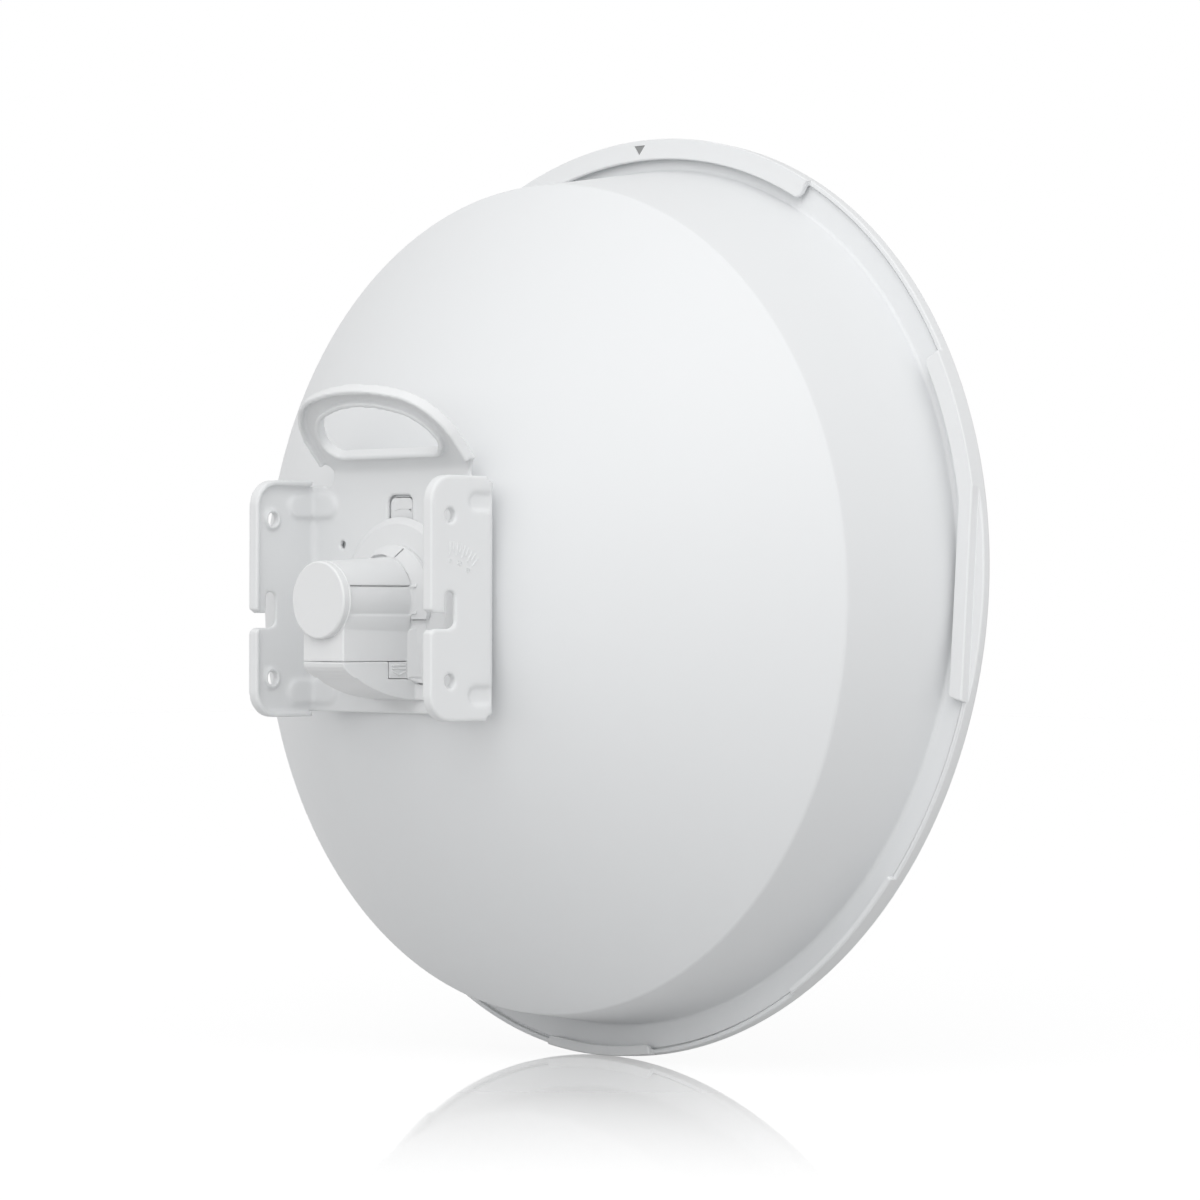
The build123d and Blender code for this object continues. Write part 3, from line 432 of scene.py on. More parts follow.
def buildClear():
    material, tree, shader, place = shaderOf("clearPlastic")
    skin = addGroup(tree, grainGroup, place, Scale=2400, Roughness=clearPlastic["roughness"], Spread=0.05)
    tree.links.new(skin.outputs["Roughness"], shader.inputs["Roughness"])
    shader.inputs["Base Color"].default_value = clearPlastic["color"]
    shader.inputs["Transmission Weight"].default_value = clearPlastic["transmission"]
    shader.inputs["IOR"].default_value = clearPlastic["ior"]
    bumpFrom(tree, skin.outputs["Height"], shader, 0.3, 0.002 * mm)
    return material


materials = {name: buildFinish(name) for name in finishes}
materials["circuitBoard"] = buildBoard()
materials["clearPlastic"] = buildClear()
print("finishes made")

# rim plane, shared by the dish and the radome
rim = {"distance": 187.4, "rise": 2.1, "tilt": 4.16, "radius": 229.5}
rimTilt = math.radians(rim["tilt"])
rimCentre = Vector((0, -rim["distance"], rim["rise"]))
rimNormal = Vector((0, math.cos(rimTilt), math.sin(rimTilt)))
rimUp = Vector((0, -math.sin(rimTilt), math.cos(rimTilt)))


def rimPoint(radius, angle, depth):
    # angle runs from the top towards -X, depth is towards the pole
    around = Vector((-math.sin(angle), 0, 0)) + rimUp * math.cos(angle)
    return rimCentre + rimNormal * depth + around * radius


# dish
dish = {
    "bore": 21.0, "seatFlat": 32.0, "seatRadius": 47.5, "seatY": -29.7, "seatRound": 9.0, "wall": 1.6,
    "creaseRadius": 203.0, "creaseY": -117.9, "creaseRound": 3.6,
    "shroudRadius": 213.7, "shroudDepth": 4.7, "rootRound": 1.9,
    "flangeRadius": 226.3, "flangeFlat": 220.8, "flangeThickness": 1.9, "edgeRound": 0.6,
    "bowlDrop": 1.35, "creaseDrop": 1.1,  # how far the front face lies below the rear one, in walls
    "seatStep": 1.0, "innerRound": 6.0,
    "screwHole": 2.7, "cutStart": -25.0, "cutDepth": 12.0,
    "columns": 480, "bowlSteps": 34, "bowlMargin": 5.0,
}


def flangeEdge(angle):
    # a round flange with a straight stretch on each side
    return min(dish["flangeRadius"], dish["flangeFlat"] / max(abs(math.sin(angle)), 0.01))


def dishSection(angle):
    around = Vector((-math.sin(angle), 0, math.cos(angle)))
    seatRadius, seatY = dish["seatRadius"], dish["seatY"]
    creaseRadius, wall, steps = dish["creaseRadius"], dish["wall"], dish["bowlSteps"]
    fall = (dish["creaseY"] - seatY) / (creaseRadius ** 2 - seatRadius ** 2)

    def at(radius, y):
        return around * radius + Vector((0, y, 0))

    def bowl(radius, drop):
        return at(radius, seatY + fall * (radius ** 2 - seatRadius ** 2) - drop)

    span = creaseRadius - dish["bowlMargin"] - seatRadius
    radii = [seatRadius + span * i / steps for i in range(1, steps + 1)]
    edge, depth = flangeEdge(angle), dish["shroudDepth"]
    front = depth - dish["flangeThickness"]
    corners = [(at(dish["bore"], seatY), None), (at(dish["seatFlat"], seatY), None)]
    corners.append((at(seatRadius, seatY), dish["seatRound"]))
    corners += [(bowl(radius, 0), None) for radius in radii]
    corners += [
        (bowl(creaseRadius, 0), dish["creaseRound"]),
        (rimPoint(dish["shroudRadius"], angle, depth), dish["rootRound"]),
        (rimPoint(edge, angle, depth), dish["edgeRound"]),
        (rimPoint(edge, angle, front), dish["edgeRound"]),
        (rimPoint(dish["shroudRadius"] - wall, angle, front), dish["rootRound"]),
        (bowl(creaseRadius - wall, dish["creaseDrop"] * wall), dish["creaseRound"]),
    ]
    corners += [(bowl(radius, dish["bowlDrop"] * wall), None) for radius in reversed(radii[::2])]
    corners.append((at(seatRadius - dish["seatStep"], seatY - wall), dish["innerRound"]))
    corners.append((at(dish["bore"], seatY - wall), None))
    points, rounds = zip(*corners)
    return roundedLine(list(points), list(rounds))


def circleOutline(x, z, radius, y, count=28):
    turns = [2 * math.pi * i / count for i in range(count)]
    return [Vector((x + radius * math.cos(t), y, z + radius * math.sin(t))) for t in turns]


def slotOutline(halfWidth, low, high, corner, y, shift=0.0, steps=5):
    points = []
    for cx, cz, start in (
        (halfWidth - corner, high - corner, 0), (corner - halfWidth, high - corner, 90),
        (corner - halfWidth, low + corner, 180), (halfWidth - corner, low + corner, 270),
    ):
        for k in range(steps + 1):
            t = math.radians(start + 90 / steps * k)
            points.append(Vector((shift + cx + corner * math.cos(t), y, cz + corner * math.sin(t))))
    return points


screwCircle = {"radius": 31.0, "count": 4, "start": 45.0}
window = {
    "shift": 0.7, "halfWidth": 7.7, "low": 34.0, "high": 48.3, "corner": 3.2,
    "plateSide": 0.5, "plateTop": 0.9, "plateCorner": 0.4,  # how much wider the bracket's window is
}


def buildDish():
    columns = [dishSection(2 * math.pi * i / dish["columns"]) for i in range(dish["columns"])]
    piece = addObject("dishShell", sectionMesh("dishShell", columns))
    start, through = dish["cutStart"], Vector((0, -dish["cutDepth"], 0))
    opening = slotOutline(
        window["halfWidth"], window["low"], window["high"], window["corner"], start, window["shift"]
    )
    outlines = [(opening, through)]
    for i in range(screwCircle["count"]):
        turn = math.radians(screwCircle["start"] + 360 / screwCircle["count"] * i)
        x, z = screwCircle["radius"] * math.cos(turn), screwCircle["radius"] * math.sin(turn)
        outlines.append((circleOutline(x, z, dish["screwHole"], start), through))
    cutAway(piece, prismMesh("dishHoles", outlines))
    smoothShade(piece)
    settle(piece, materials["dishPaint"], "bridge", "dish_paint", "dish_reflector")


buildDish()
print("dish made")

# radome
radome = {
    "rise": 46.0, "wall": 2.2, "frontRound": 1.8, "edgeRound": 1.0, "innerRound": 1.0, "stepRound": 0.5,
    "skirtWall": 2.5, "skirtDepth": 6.7,
    "tabs": ((-28.7, 28.7), (60.0, 102.6), (-102.6, -60.0), (171.0, 189.0)),  # degrees from the top
    "ribs": ((125.7, 146.4), (-146.4, -125.7)),
    "tabDepth": 10.0, "tabThickness": 2.0, "tabCorner": 3.4, "tabEdge": 1.0, "tabEdgeRound": 0.8,
    "tabInner": 219.1, "sideInner": 220.2, "lowInner": 224.4, "ribInner": 226.3, "underRound": 0.3,
    "flatWall": 223.9, "flatTabInner": 216.0, "flatDepth": 4.9,  # the straight stretch on each side
    "blendStart": 74.0, "blendSpan": 3.4,  # degrees over which a side tab's lip turns straight
    "grooveDepth": 0.8, "grooveHeight": 1.5, "grooveFit": 0.05, "crisp": 0.1, "feather": 0.01,
    "footRound": 1.5, "footReach": 1.8, "footEdge": 0.2, "footLimit": 0.2,
    "endReach": 0.015, "sideLimit": 0.8, "lowLimit": -0.9,
    "columns": 600, "domeSteps": 26, "domeMargin": 6.0, "innerShare": 0.98,
    "endColumns": (-0.03, -0.01, 0, 0.08, 0.2, 0.4, 0.7, 1.0, 1.4, 1.9, 2.5, 3.4),  # mm inside a tab's end
}
indexMark = {
    "radius": 226.7, "shift": 4.2, "width": 7.6, "height": 4.9, "depth": 1.5, "sink": 0.35, "clear": 2.0,
}


def tabReach(angle, spans):
    # millimetres inside the nearest span's end, negative outside all spans
    best = -1e9
    degrees = math.degrees(angle)
    for first, last in spans:
        middle, half = (first + last) / 2, (last - first) / 2
        away = abs((degrees - middle + 180) % 360 - 180)
        best = max(best, (half - away) * math.radians(1) * rim["radius"])
    return best


def bulge(distance, radius):
    # how far a rounded corner still falls short at that distance from its end
    if distance >= radius:
        return 0.0
    return radius * (1 - math.sqrt(max(0, 1 - (1 - distance / radius) ** 2)))


def lipRadius(angle, isTab, straight):
    # how far in a tab or a rib reaches
    side, inner = abs(math.sin(angle)), radome["sideInner"]
    if straight:
        return min(inner, radome["flatTabInner"] / side)
    if not isTab:
        return radome["ribInner"]
    if side > radome["sideLimit"]:
        degrees = math.degrees(math.atan2(side, abs(math.cos(angle))))
        share = min(1, max(0, (degrees - radome["blendStart"]) / radome["blendSpan"]))
        return inner + share * (min(inner, radome["flatTabInner"] / side) - inner)
    return radome["lowInner"] if math.cos(angle) < radome["lowLimit"] else radome["tabInner"]


def footCorners(angle, inside):
    # over the flange's edge, a soft foot in the upper half and a narrow groove in the lower half
    face, fit, edge = dish["shroudDepth"], radome["grooveFit"], flangeEdge(angle)
    groove = face - radome["grooveDepth"]
    bottom = groove - radome["grooveHeight"]
    crisp, feather = radome["crisp"], radome["feather"]
    if math.cos(angle) > radome["footLimit"]:
        return [
            (inside, face + fit, radome["footRound"]), (edge - radome["footReach"], face + fit, feather),
            (edge + fit, face + radome["footEdge"] * fit, feather), (inside, bottom, crisp),
        ]
    return [
        (inside, groove, crisp), (edge + fit, groove, crisp),
        (edge + fit, bottom, crisp), (inside, bottom, crisp),
    ]


def radomeSection(angle):
    full, rise, edgeRound = rim["radius"], radome["rise"], radome["edgeRound"]
    tab, rib = tabReach(angle, radome["tabs"]), tabReach(angle, radome["ribs"])
    reach, isTab = max(tab, rib), tab >= rib
    side = abs(math.sin(angle))
    straight = side > 0 and abs(full * math.cos(angle)) <= math.sqrt(full ** 2 - radome["flatWall"] ** 2)
    wall = min(full, radome["flatWall"] / side) if straight else full
    inside = lip = wall - radome["skirtWall"]
    level = under = radome["skirtDepth"]
    # the column just outside a tab's end is raised too, so that the end stands upright
    if reach > -radome["endReach"]:
        level = radome["tabDepth"] - bulge(max(reach, 0), radome["tabEdge"])
        under = level - radome["tabThickness"] if isTab else level
    if reach >= 0:
        lip = lipRadius(angle, isTab, straight) + bulge(reach, radome["tabCorner"])
    step = radome["flatDepth"] if straight else level
    sphere = (full ** 2 + rise ** 2) / (2 * rise)

    def dome(radius, drop):
        return sphere - rise - math.sqrt((sphere - drop) ** 2 - radius ** 2)

    steps, thickness = radome["domeSteps"], radome["wall"]
    shares = [math.sin(math.pi / 2 * i / steps) for i in range(steps)]
    outer, inner = full - radome["domeMargin"], inside * radome["innerShare"]
    corners = [(0.0, -rise, None)]
    corners += [(outer * s, dome(outer * s, 0), None) for s in shares[1:]]
    corners += [
        (full, 0, radome["frontRound"]), (full, step, edgeRound), (wall, step, radome["stepRound"]),
        (wall, level, edgeRound), (lip, level, radome["tabEdgeRound"]), (lip, under, radome["underRound"]),
        (inside, under, radome["underRound"]), *footCorners(angle, inside),
        (inside, dome(inside, thickness), radome["innerRound"]),
    ]
    corners += [(inner * s, dome(inner * s, thickness), None) for s in reversed(shares[1::2])]
    corners.append((0.0, thickness - rise, None))
    points = [rimPoint(radius, angle, depth) for radius, depth, _ in corners]
    return roundedLine(points, [rounding for _, _, rounding in corners])


def radomeAngles():
    # even columns, and close ones at the ends of tabs, ribs and straight sides
    full, count = rim["radius"], radome["columns"]
    angles = [360 * i / count for i in range(count)]
    perMillimetre = math.degrees(1 / full)
    for first, last in radome["tabs"] + radome["ribs"]:
        for end, inward in ((first, 1), (last, -1)):
            angles += [(end + inward * distance * perMillimetre) % 360 for distance in radome["endColumns"]]
    limit = math.degrees(math.asin(math.sqrt(full ** 2 - radome["flatWall"] ** 2) / full))
    for middle in (90, 270):
        angles += [middle + side * limit + hair for side in (-1, 1) for hair in (-1e-4, 1e-4)]
    return [math.radians(a) for a in sorted(set(round(a, 6) for a in angles))]


def buildRadome():
    piece = addObject("radomeShell", sectionMesh("radomeShell", [radomeSection(a) for a in radomeAngles()]))
    mark, clear = indexMark, indexMark["clear"]
    centre = rimPoint(mark["radius"], 0, radome["tabDepth"] + clear) + Vector((mark["shift"], 0, 0))
    across, down = Vector((1, 0, 0)) * mark["width"] / 2, rimUp * -mark["height"]
    outline = [centre - across, centre + across, centre + down]
    cutAway(piece, prismMesh("markCut", [(outline, rimNormal * -(mark["depth"] + clear))]))
    smoothShade(piece)
    settle(piece, materials["radomePlastic"], "bridge", "radome_plastic", "radome_cover")
    # a grey sheet a little below the face paints the shade inside the index mark's recess
    outline = [corner - rimNormal * (clear + mark["sink"]) for corner in outline]
    push = rimNormal * (mark["sink"] - mark["depth"])
    recessShade = addObject("indexMark", prismMesh("indexMark", [(outline, push)]))
    settle(recessShade, materials["buttonPlastic"], "bridge", "button_plastic")


buildRadome()
print("radome made")

# Geometry Nodes for what repeats
def growTree(name, sockets):
    tree = bpy.data.node_groups.new(name, "GeometryNodeTree")
    tree.interface.new_socket(name="Geometry", in_out="OUTPUT", socket_type="NodeSocketGeometry")
    keys = {}
    for kind, socketName in sockets:
        socket = tree.interface.new_socket(name=socketName, in_out="INPUT", socket_type=kind)
        keys[socketName] = socket.identifier
    return tree, keys, addNode(tree, "NodeGroupInput").outputs


def endTree(tree, points, inputs, rotation=None):
    # the piece on every point, made real, in its finish
    piece = addNode(tree, "GeometryNodeObjectInfo")
    tree.links.new(inputs["Piece"], piece.inputs["Object"])
    place = addNode(tree, "GeometryNodeInstanceOnPoints")
    tree.links.new(points, place.inputs["Points"])
    tree.links.new(piece.outputs["Geometry"], place.inputs["Instance"])
    if rotation:
        tree.links.new(rotation, place.inputs["Rotation"])
    real = addNode(tree, "GeometryNodeRealizeInstances")
    tree.links.new(place.outputs["Instances"], real.inputs["Geometry"])
    finish = addNode(tree, "GeometryNodeSetMaterial")
    tree.links.new(real.outputs["Geometry"], finish.inputs["Geometry"])
    tree.links.new(inputs["Finish"], finish.inputs["Material"])
    tree.links.new(finish.outputs["Geometry"], addNode(tree, "NodeGroupOutput").inputs[0])


def buildRingTree():
    # pieces on a circle about the Y axis
    tree, keys, inputs = growTree("piecesOnRing", [
        ("NodeSocketObject", "Piece"), ("NodeSocketInt", "Count"), ("NodeSocketFloat", "Radius"),
        ("NodeSocketVector", "Turn"), ("NodeSocketMaterial", "Finish"),
    ])
    circle = addNode(tree, "GeometryNodeMeshCircle")
    tree.links.new(inputs["Count"], circle.inputs["Vertices"])
    tree.links.new(inputs["Radius"], circle.inputs["Radius"])
    turn = addNode(tree, "GeometryNodeTransform")
    tree.links.new(circle.outputs["Mesh"], turn.inputs["Geometry"])
    tree.links.new(inputs["Turn"], turn.inputs["Rotation"])
    endTree(tree, turn.outputs["Geometry"], inputs)
    return tree, keys


def buildArcTree():
    # pieces fanned out about a centre, in a plane across X
    tree, keys, inputs = growTree("piecesOnArc", [
        ("NodeSocketObject", "Piece"), ("NodeSocketInt", "Count"), ("NodeSocketFloat", "Step"),
        ("NodeSocketFloat", "First"), ("NodeSocketVector", "Centre"), ("NodeSocketMaterial", "Finish"),
    ])
    points = addNode(tree, "GeometryNodePoints")
    tree.links.new(inputs["Count"], points.inputs["Count"])
    tree.links.new(inputs["Centre"], points.inputs["Position"])
    number = addNode(tree, "GeometryNodeInputIndex")
    turned = mathNode(tree, "MULTIPLY", number.outputs[0], inputs["Step"])
    angle = mathNode(tree, "ADD", turned, inputs["First"])
    rotation = addNode(tree, "ShaderNodeCombineXYZ")
    tree.links.new(angle, rotation.inputs["X"])
    endTree(tree, points.outputs[0], inputs, rotation.outputs[0])
    return tree, keys


ringTree, arcTree = buildRingTree(), buildArcTree()


def repeated(name, treeAndKeys, pieceMesh, **values):
    # runs a tree on a template mesh and keeps the result as a plain mesh
    tree, keys = treeAndKeys
    template = addObject(name + "Template", pieceMesh)
    made = addObject(name, bpy.data.meshes.new(name))
    grow = made.modifiers.new("grow", "NODES")
    grow.node_group = tree
    grow[keys["Piece"]] = template
    for key, value in values.items():
        grow[keys[key]] = value
    finalMesh(made)
    bpy.data.objects.remove(template)
    return made


# bracket
bracket = {
    "cell": 0.86, "passes": 4, "face": -64.2,
    "beadHeight": 44.9, "beadReach": 8.2, "beadCorner": (64.2, -27.2), "beadLength": 21.0,
    "beadRamp": 4.0, "beadPasses": 12, "cutDepth": 8.0,
}


def boxMesh(name, low, high):
    corners = [Vector((low[0], y, z)) for y, z in (
        (low[1], low[2]), (high[1], low[2]), (high[1], high[2]), (low[1], high[2]),
    )]
    return prismMesh(name, [(corners, Vector((high[0] - low[0], 0, 0)))])


def buildBracket():
    outline = slotOutline(
        window["halfWidth"] + window["plateSide"], window["low"], window["high"] + window["plateTop"],
        window["corner"] + window["plateCorner"], dish["cutStart"], window["shift"],
    )
    opening = prismMesh("plateWindow", [(outline, Vector((0, -bracket["cutDepth"], 0)))])
    piece = softCopy("mountBracket", "mount_bracket", bracket["cell"], bracket["passes"], cutters=opening)
    # pressed beads flow softly into the sheet
    beads = piece.vertex_groups.new(name="beads")
    foldX, foldY = bracket["beadCorner"]
    for vertex in piece.data.vertices:
        x, y, z = vertex.co / mm
        high = 1 - abs(abs(z) - bracket["beadHeight"]) / bracket["beadReach"]
        along = 1 - max(foldX - abs(x), y - foldY) / bracket["beadLength"]
        if high > 0 and along > 0:
            beads.add([vertex.index], min(1, bracket["beadRamp"] * min(high, along)), "REPLACE")
    relax = piece.modifiers.new("relax", "SMOOTH")
    relax.vertex_group = "beads"
    relax.factor = 0.5
    relax.iterations = bracket["beadPasses"]
    finalMesh(piece)
    piece.vertex_groups.clear()
    settle(piece, materials["bracketPaint"], "bridge", "bracket_paint", "mount_bracket")


tiltScale = {
    "centreY": 0.4, "centreZ": 0.0, "outer": 26.1, "long": 6.0, "short": 4.0, "longCount": 5,
    "width": 0.6, "height": 0.34, "sink": 0.3, "step": 5.4,
    "numberRadius": 17.2, "numberSize": 3.0, "numbers": (0, 20, 40),
}


def buildTiltScale():
    scale = tiltScale
    centre = Vector((bracket["face"], scale["centreY"], scale["centreZ"])) * mm
    half, step, count = scale["width"] / 2, math.radians(scale["step"]), scale["longCount"]
    # long and short bars take turns
    for name, length, bars, first in (
        ("Long", scale["long"], count, 0), ("Short", scale["short"], count - 1, 1),
    ):
        low, high = (-scale["height"], -half, scale["outer"] - length), (scale["sink"], half, scale["outer"])
        marks = repeated(
            "tiltMarks" + name, arcTree, boxMesh("bar", low, high), Count=bars, First=step * first,
            Step=step * 2, Centre=centre, Finish=materials["bracketPaint"],
        )
        finishMark(marks)
    for number in scale["numbers"]:
        buildScaleNumber(number, centre)


def buildScaleNumber(number, centre):
    name = "tiltNumber%d" % number
    text = bpy.data.curves.new("number", "FONT")
    text.body = str(number)
    text.align_x, text.align_y = "CENTER", "CENTER"
    text.size = tiltScale["numberSize"] * mm
    text.extrude = tiltScale["height"] * mm
    holder = addObject(name, text)
    bpy.context.view_layer.update()
    mesh = bpy.data.meshes.new_from_object(holder.evaluated_get(bpy.context.evaluated_depsgraph_get()))
    bpy.data.objects.remove(holder)
    turn = math.radians(number)
    upward = Vector((0, -math.sin(turn), math.cos(turn)))
    right = Vector((0, -math.cos(turn), -math.sin(turn)))
    placed = Matrix((right, upward, Vector((-1, 0, 0)))).transposed().to_4x4()
    placed.translation = centre + upward * tiltScale["numberRadius"] * mm
    mesh.transform(placed)
    finishMark(addObject(name, mesh))


def finishMark(piece):
    tidyMesh(piece.data)
    smoothShade(piece, 30, False)
    settle(piece, materials["bracketPaint"], "bridge", "bracket_paint")


def takeMesh(piece):
    mesh = piece.data
    bpy.data.objects.remove(piece)
    return mesh


screw = {
    "head": 4.9, "shank": 2.5, "top": -27.25, "bottom": -29.7, "end": -37.3,
    "edge": 0.3, "tip": 0.5, "socket": 1.7, "socketDepth": 1.5,
}


def screwShape():
    head, shank, top, end = screw["head"], screw["shank"], screw["top"], screw["end"]
    edge, tip = screw["edge"], screw["tip"]
    profile = [
        (0, top), (head - edge, top), (head, top - edge), (shank, screw["bottom"]),
        (shank, end + tip), (shank - tip, end), (0, end),
    ]
    rounds = [None, 0.1, 0.1, 0.2, 0.1, 0.1, None]
    holder = addObject("screwShape", turnedMesh("screwShape", profile, rounds, 36, 2))
    hexagon = circleOutline(0, 0, screw["socket"], top + 1, 6)
    cutAway(holder, prismMesh("socket", [(hexagon, Vector((0, -1 - screw["socketDepth"], 0)))]))
    return takeMesh(holder)


nut = {"across": 4.6, "bore": 2.55, "top": -31.3, "bottom": -35.3, "edge": 0.35}


def nutShape():
    top, bottom = nut["top"], nut["bottom"]
    hexagon = circleOutline(0, 0, nut["across"], top, 6)
    holder = addObject("nutShape", prismMesh("nutShape", [(hexagon, Vector((0, bottom - top, 0)))]))
    edges = holder.modifiers.new("edges", "BEVEL")
    edges.width, edges.segments = nut["edge"] * mm, 2
    finalMesh(holder)
    bore = circleOutline(0, 0, nut["bore"], top + 1, 32)
    cutAway(holder, prismMesh("bore", [(bore, Vector((0, bottom - top - 2, 0)))]))
    return takeMesh(holder)


def buildFasteners():
    turn = Vector((math.radians(90), math.radians(screwCircle["start"]), 0))
    steel = materials["zincSteel"]
    for name, node, shape in (
        ("bracketScrews", "bracket_screws", screwShape), ("bracketNuts", "bracket_nuts", nutShape),
    ):
        pieces = repeated(
            name, ringTree, shape(), Count=screwCircle["count"], Radius=screwCircle["radius"] * mm,
            Turn=turn, Finish=steel,
        )
        smoothShade(pieces, 30)
        settle(pieces, steel, "bridge", "zinc_steel", node)


buildBracket()
buildTiltScale()
buildFasteners()
print("bracket made")

# radio housing
endCap = {
    "drop": 0.84, "radius": 18.2, "face": 24.8,
    "chamfer": 0.55, "crown": 0.4, "crownDrop": 0.12, "slope": 0.2,
    "ring": 18.55, "ringStart": 20.9, "ringEnd": 19.9, "skirt": 17.4, "back": 21.3, "floor": 22.2,
    "plug": 13.2, "plugWall": 1.2, "plugBack": 18.0,
}


def buildEndCap():
    cap, radius, face = endCap, endCap["radius"], endCap["face"]
    flat, inner = radius - cap["chamfer"], cap["plug"] - cap["plugWall"]
    profile = [
        (0, face), (flat - cap["crown"], face), (flat, face - cap["crownDrop"]),
        (radius, face - cap["chamfer"] - cap["slope"]), (radius, cap["ringStart"]),
        (cap["ring"], cap["ringStart"]), (cap["ring"], cap["ringEnd"]), (cap["skirt"], cap["ringEnd"]),
        (cap["skirt"], cap["back"]), (cap["plug"], cap["back"]), (cap["plug"], cap["plugBack"]),
        (inner, cap["plugBack"]), (inner, cap["floor"]), (0, cap["floor"]),
    ]
    rounds = [None, 0.2, 0.2, 0.3, 0.12, 0.3, 0.3, 0.1, 0.2, 0.2, 0.3, 0.3, 0.2, None]
    piece = addObject("endCap", turnedMesh("endCap", profile, rounds, 192))
    piece.data.transform(Matrix.Translation((0, 0, -cap["drop"] * mm)))
    smoothShade(piece)
    settle(piece, materials["capPlastic"], "bridge", "cap_plastic", "end_cap")


base = {
    "bore": 15.2, "lip": 1.0, "top": -24.4, "topRadius": 35.6, "bottom": -27.2, "bottomRadius": 40.0,
    "spigot": 20.6, "spigotBore": 18.6, "spigotEnd": -36.2, "seat": 0.2,
}


def buildBase():
    bore, top, bottom, spigot = base["bore"], base["top"], base["bottom"], base["spigot"]
    profile = [
        (bore, top - base["lip"]), (bore, top), (base["topRadius"], top), (base["bottomRadius"], bottom),
        (spigot, bottom), (spigot, base["spigotEnd"]), (base["spigotBore"], base["spigotEnd"]),
        (base["spigotBore"], bottom - base["seat"]), (bore, bottom),
    ]
    rounds = [None, 0.3, 1.2, 0.5, 0.3, 0.5, 0.5, 0.2, 0.2]
    piece = addObject("mountingBase", turnedMesh("mountingBase", profile, rounds, 192))
    smoothShade(piece)
    settle(piece, materials["housingPlastic"], "bridge", "housing_plastic", "mounting_base")


housing = {
    "collarCell": 0.27, "bodyCell": 0.42, "coverCell": 0.36, "doorCell": 0.36,
    "grow": 0.12, "coverGrow": 0.18,
    "side": 14.1, "inner": 12.9, "flareEnd": -25.2, "plate": -26.9,
    # each level of a cheek: height at its start and at its end, where it starts, how far out it ends
    "neckLevels": ((-9.9, -9.9, -21.2, 23.0), (-34.4, -32.6, -23.4, 23.0), (-37.7, -40.2, -19.8, 19.6)),
    "doorLevels": ((-39.8, -41.0, -24.2, 18.8), (-47.6, -47.9, -24.2, 18.8)),
    # the door's shoulder in (y, z)
    "shoulder": (
        (21.15, -29.1), (21.15, -29.5), (20.7, -31.2), (19.4, -32.9), (16.8, -34.8), (13.5, -36.4),
        (12.5, -33.0),
    ),
}


# how far the cast halves are drawn up or down at each height, at the cap end and at the collar
draft = {
    "heights": (-50.0, -38.0, -28.8, -10.6, -7.0, 7.15, 17.2, 25.0),
    "rear": (0.0, -0.9, -0.9, -0.3, -1.0, -1.3, 0.0, 0.0),
    "front": (0.0, -0.9, -0.8, -1.8, -0.9, -1.2, 2.4, 2.4),
    "rearY": 21.2, "frontY": -19.5, "fade": 0.9,
}


def between(value, places, amounts):
    # the amount at a place, read off the straight line between its two neighbours
    for k in range(1, len(places)):
        if value <= places[k]:
            share = max(0, (value - places[k - 1]) / (places[k] - places[k - 1]))
            return amounts[k - 1] + share * (amounts[k] - amounts[k - 1])
    return amounts[-1]


def drawOut(piece):
    heights, rearY, frontY, fade = draft["heights"], draft["rearY"], draft["frontY"], draft["fade"]
    for vertex in piece.data.vertices:
        y, z = vertex.co.y / mm, vertex.co.z / mm
        share = min(1, max(0, (rearY - y) / (rearY - frontY)))
        rear, front = between(z, heights, draft["rear"]), between(z, heights, draft["front"])
        amount = (1 - share) * rear + share * front
        amount *= min(1, max(0, (y - frontY + fade) / fade))
        vertex.co.z += amount * mm


def cheekMesh(name, levels, end):
    # two cheeks that widen towards the plate
    inner, outer = housing["inner"], housing["side"]
    points, faces = [], []
    for side in (-1, 1):
        first, last = len(points), len(points) + 4 * (len(levels) - 1)
        for startZ, endZ, start, reach in levels:
            corners = ((inner, start, startZ), (outer, start, startZ), (reach, end, endZ), (inner, end, endZ))
            points += [(side * x * mm, y * mm, z * mm) for x, y, z in corners]
        faces += [tuple(first + i for i in range(4)), tuple(last + i for i in reversed(range(4)))]
        for low in range(first, last, 4):
            faces += [(low + i, low + 4 + i, low + 4 + (i + 1) % 4, low + (i + 1) % 4) for i in range(4)]
    mesh = bpy.data.meshes.new(name)
    mesh.from_pydata(points, [], faces)
    tidyMesh(mesh)
    return mesh


def barOutline(start, end, width, normal):
    # a flat bar between two places
    across = (end - start).normalized().cross(normal) * width / 2
    return [start + across, end + across, end - across, start - across]


recess = {
    "x": 8.2, "z": 19.3, "halfWidth": 6.0, "halfHeight": 1.6, "start": -18.0, "depth": 6.0, "points": 40,
}
slit = {"from": (-3.0, 19.3), "to": (-8.6, 23.8), "width": 0.6, "start": -18.0, "depth": 7.0}


def buildCollar():
    turns = [2 * math.pi * i / recess["points"] for i in range(recess["points"])]
    hollow = [Vector((
        recess["x"] + recess["halfWidth"] * math.cos(t), recess["start"],
        recess["z"] + recess["halfHeight"] * math.sin(t),
    )) for t in turns]
    start, end = [Vector((x, slit["start"], z)) for x, z in (slit["from"], slit["to"])]
    cutters = prismMesh("collarCuts", [
        (hollow, Vector((0, -recess["depth"], 0))),
        (barOutline(start, end, slit["width"], Vector((0, 1, 0))), Vector((0, -slit["depth"], 0))),
    ])
    piece = softCopy("rootCollar", "root_collar", housing["collarCell"], cutters=cutters)
    settle(piece, materials["housingPlastic"], "bridge", "housing_plastic", "root_collar")


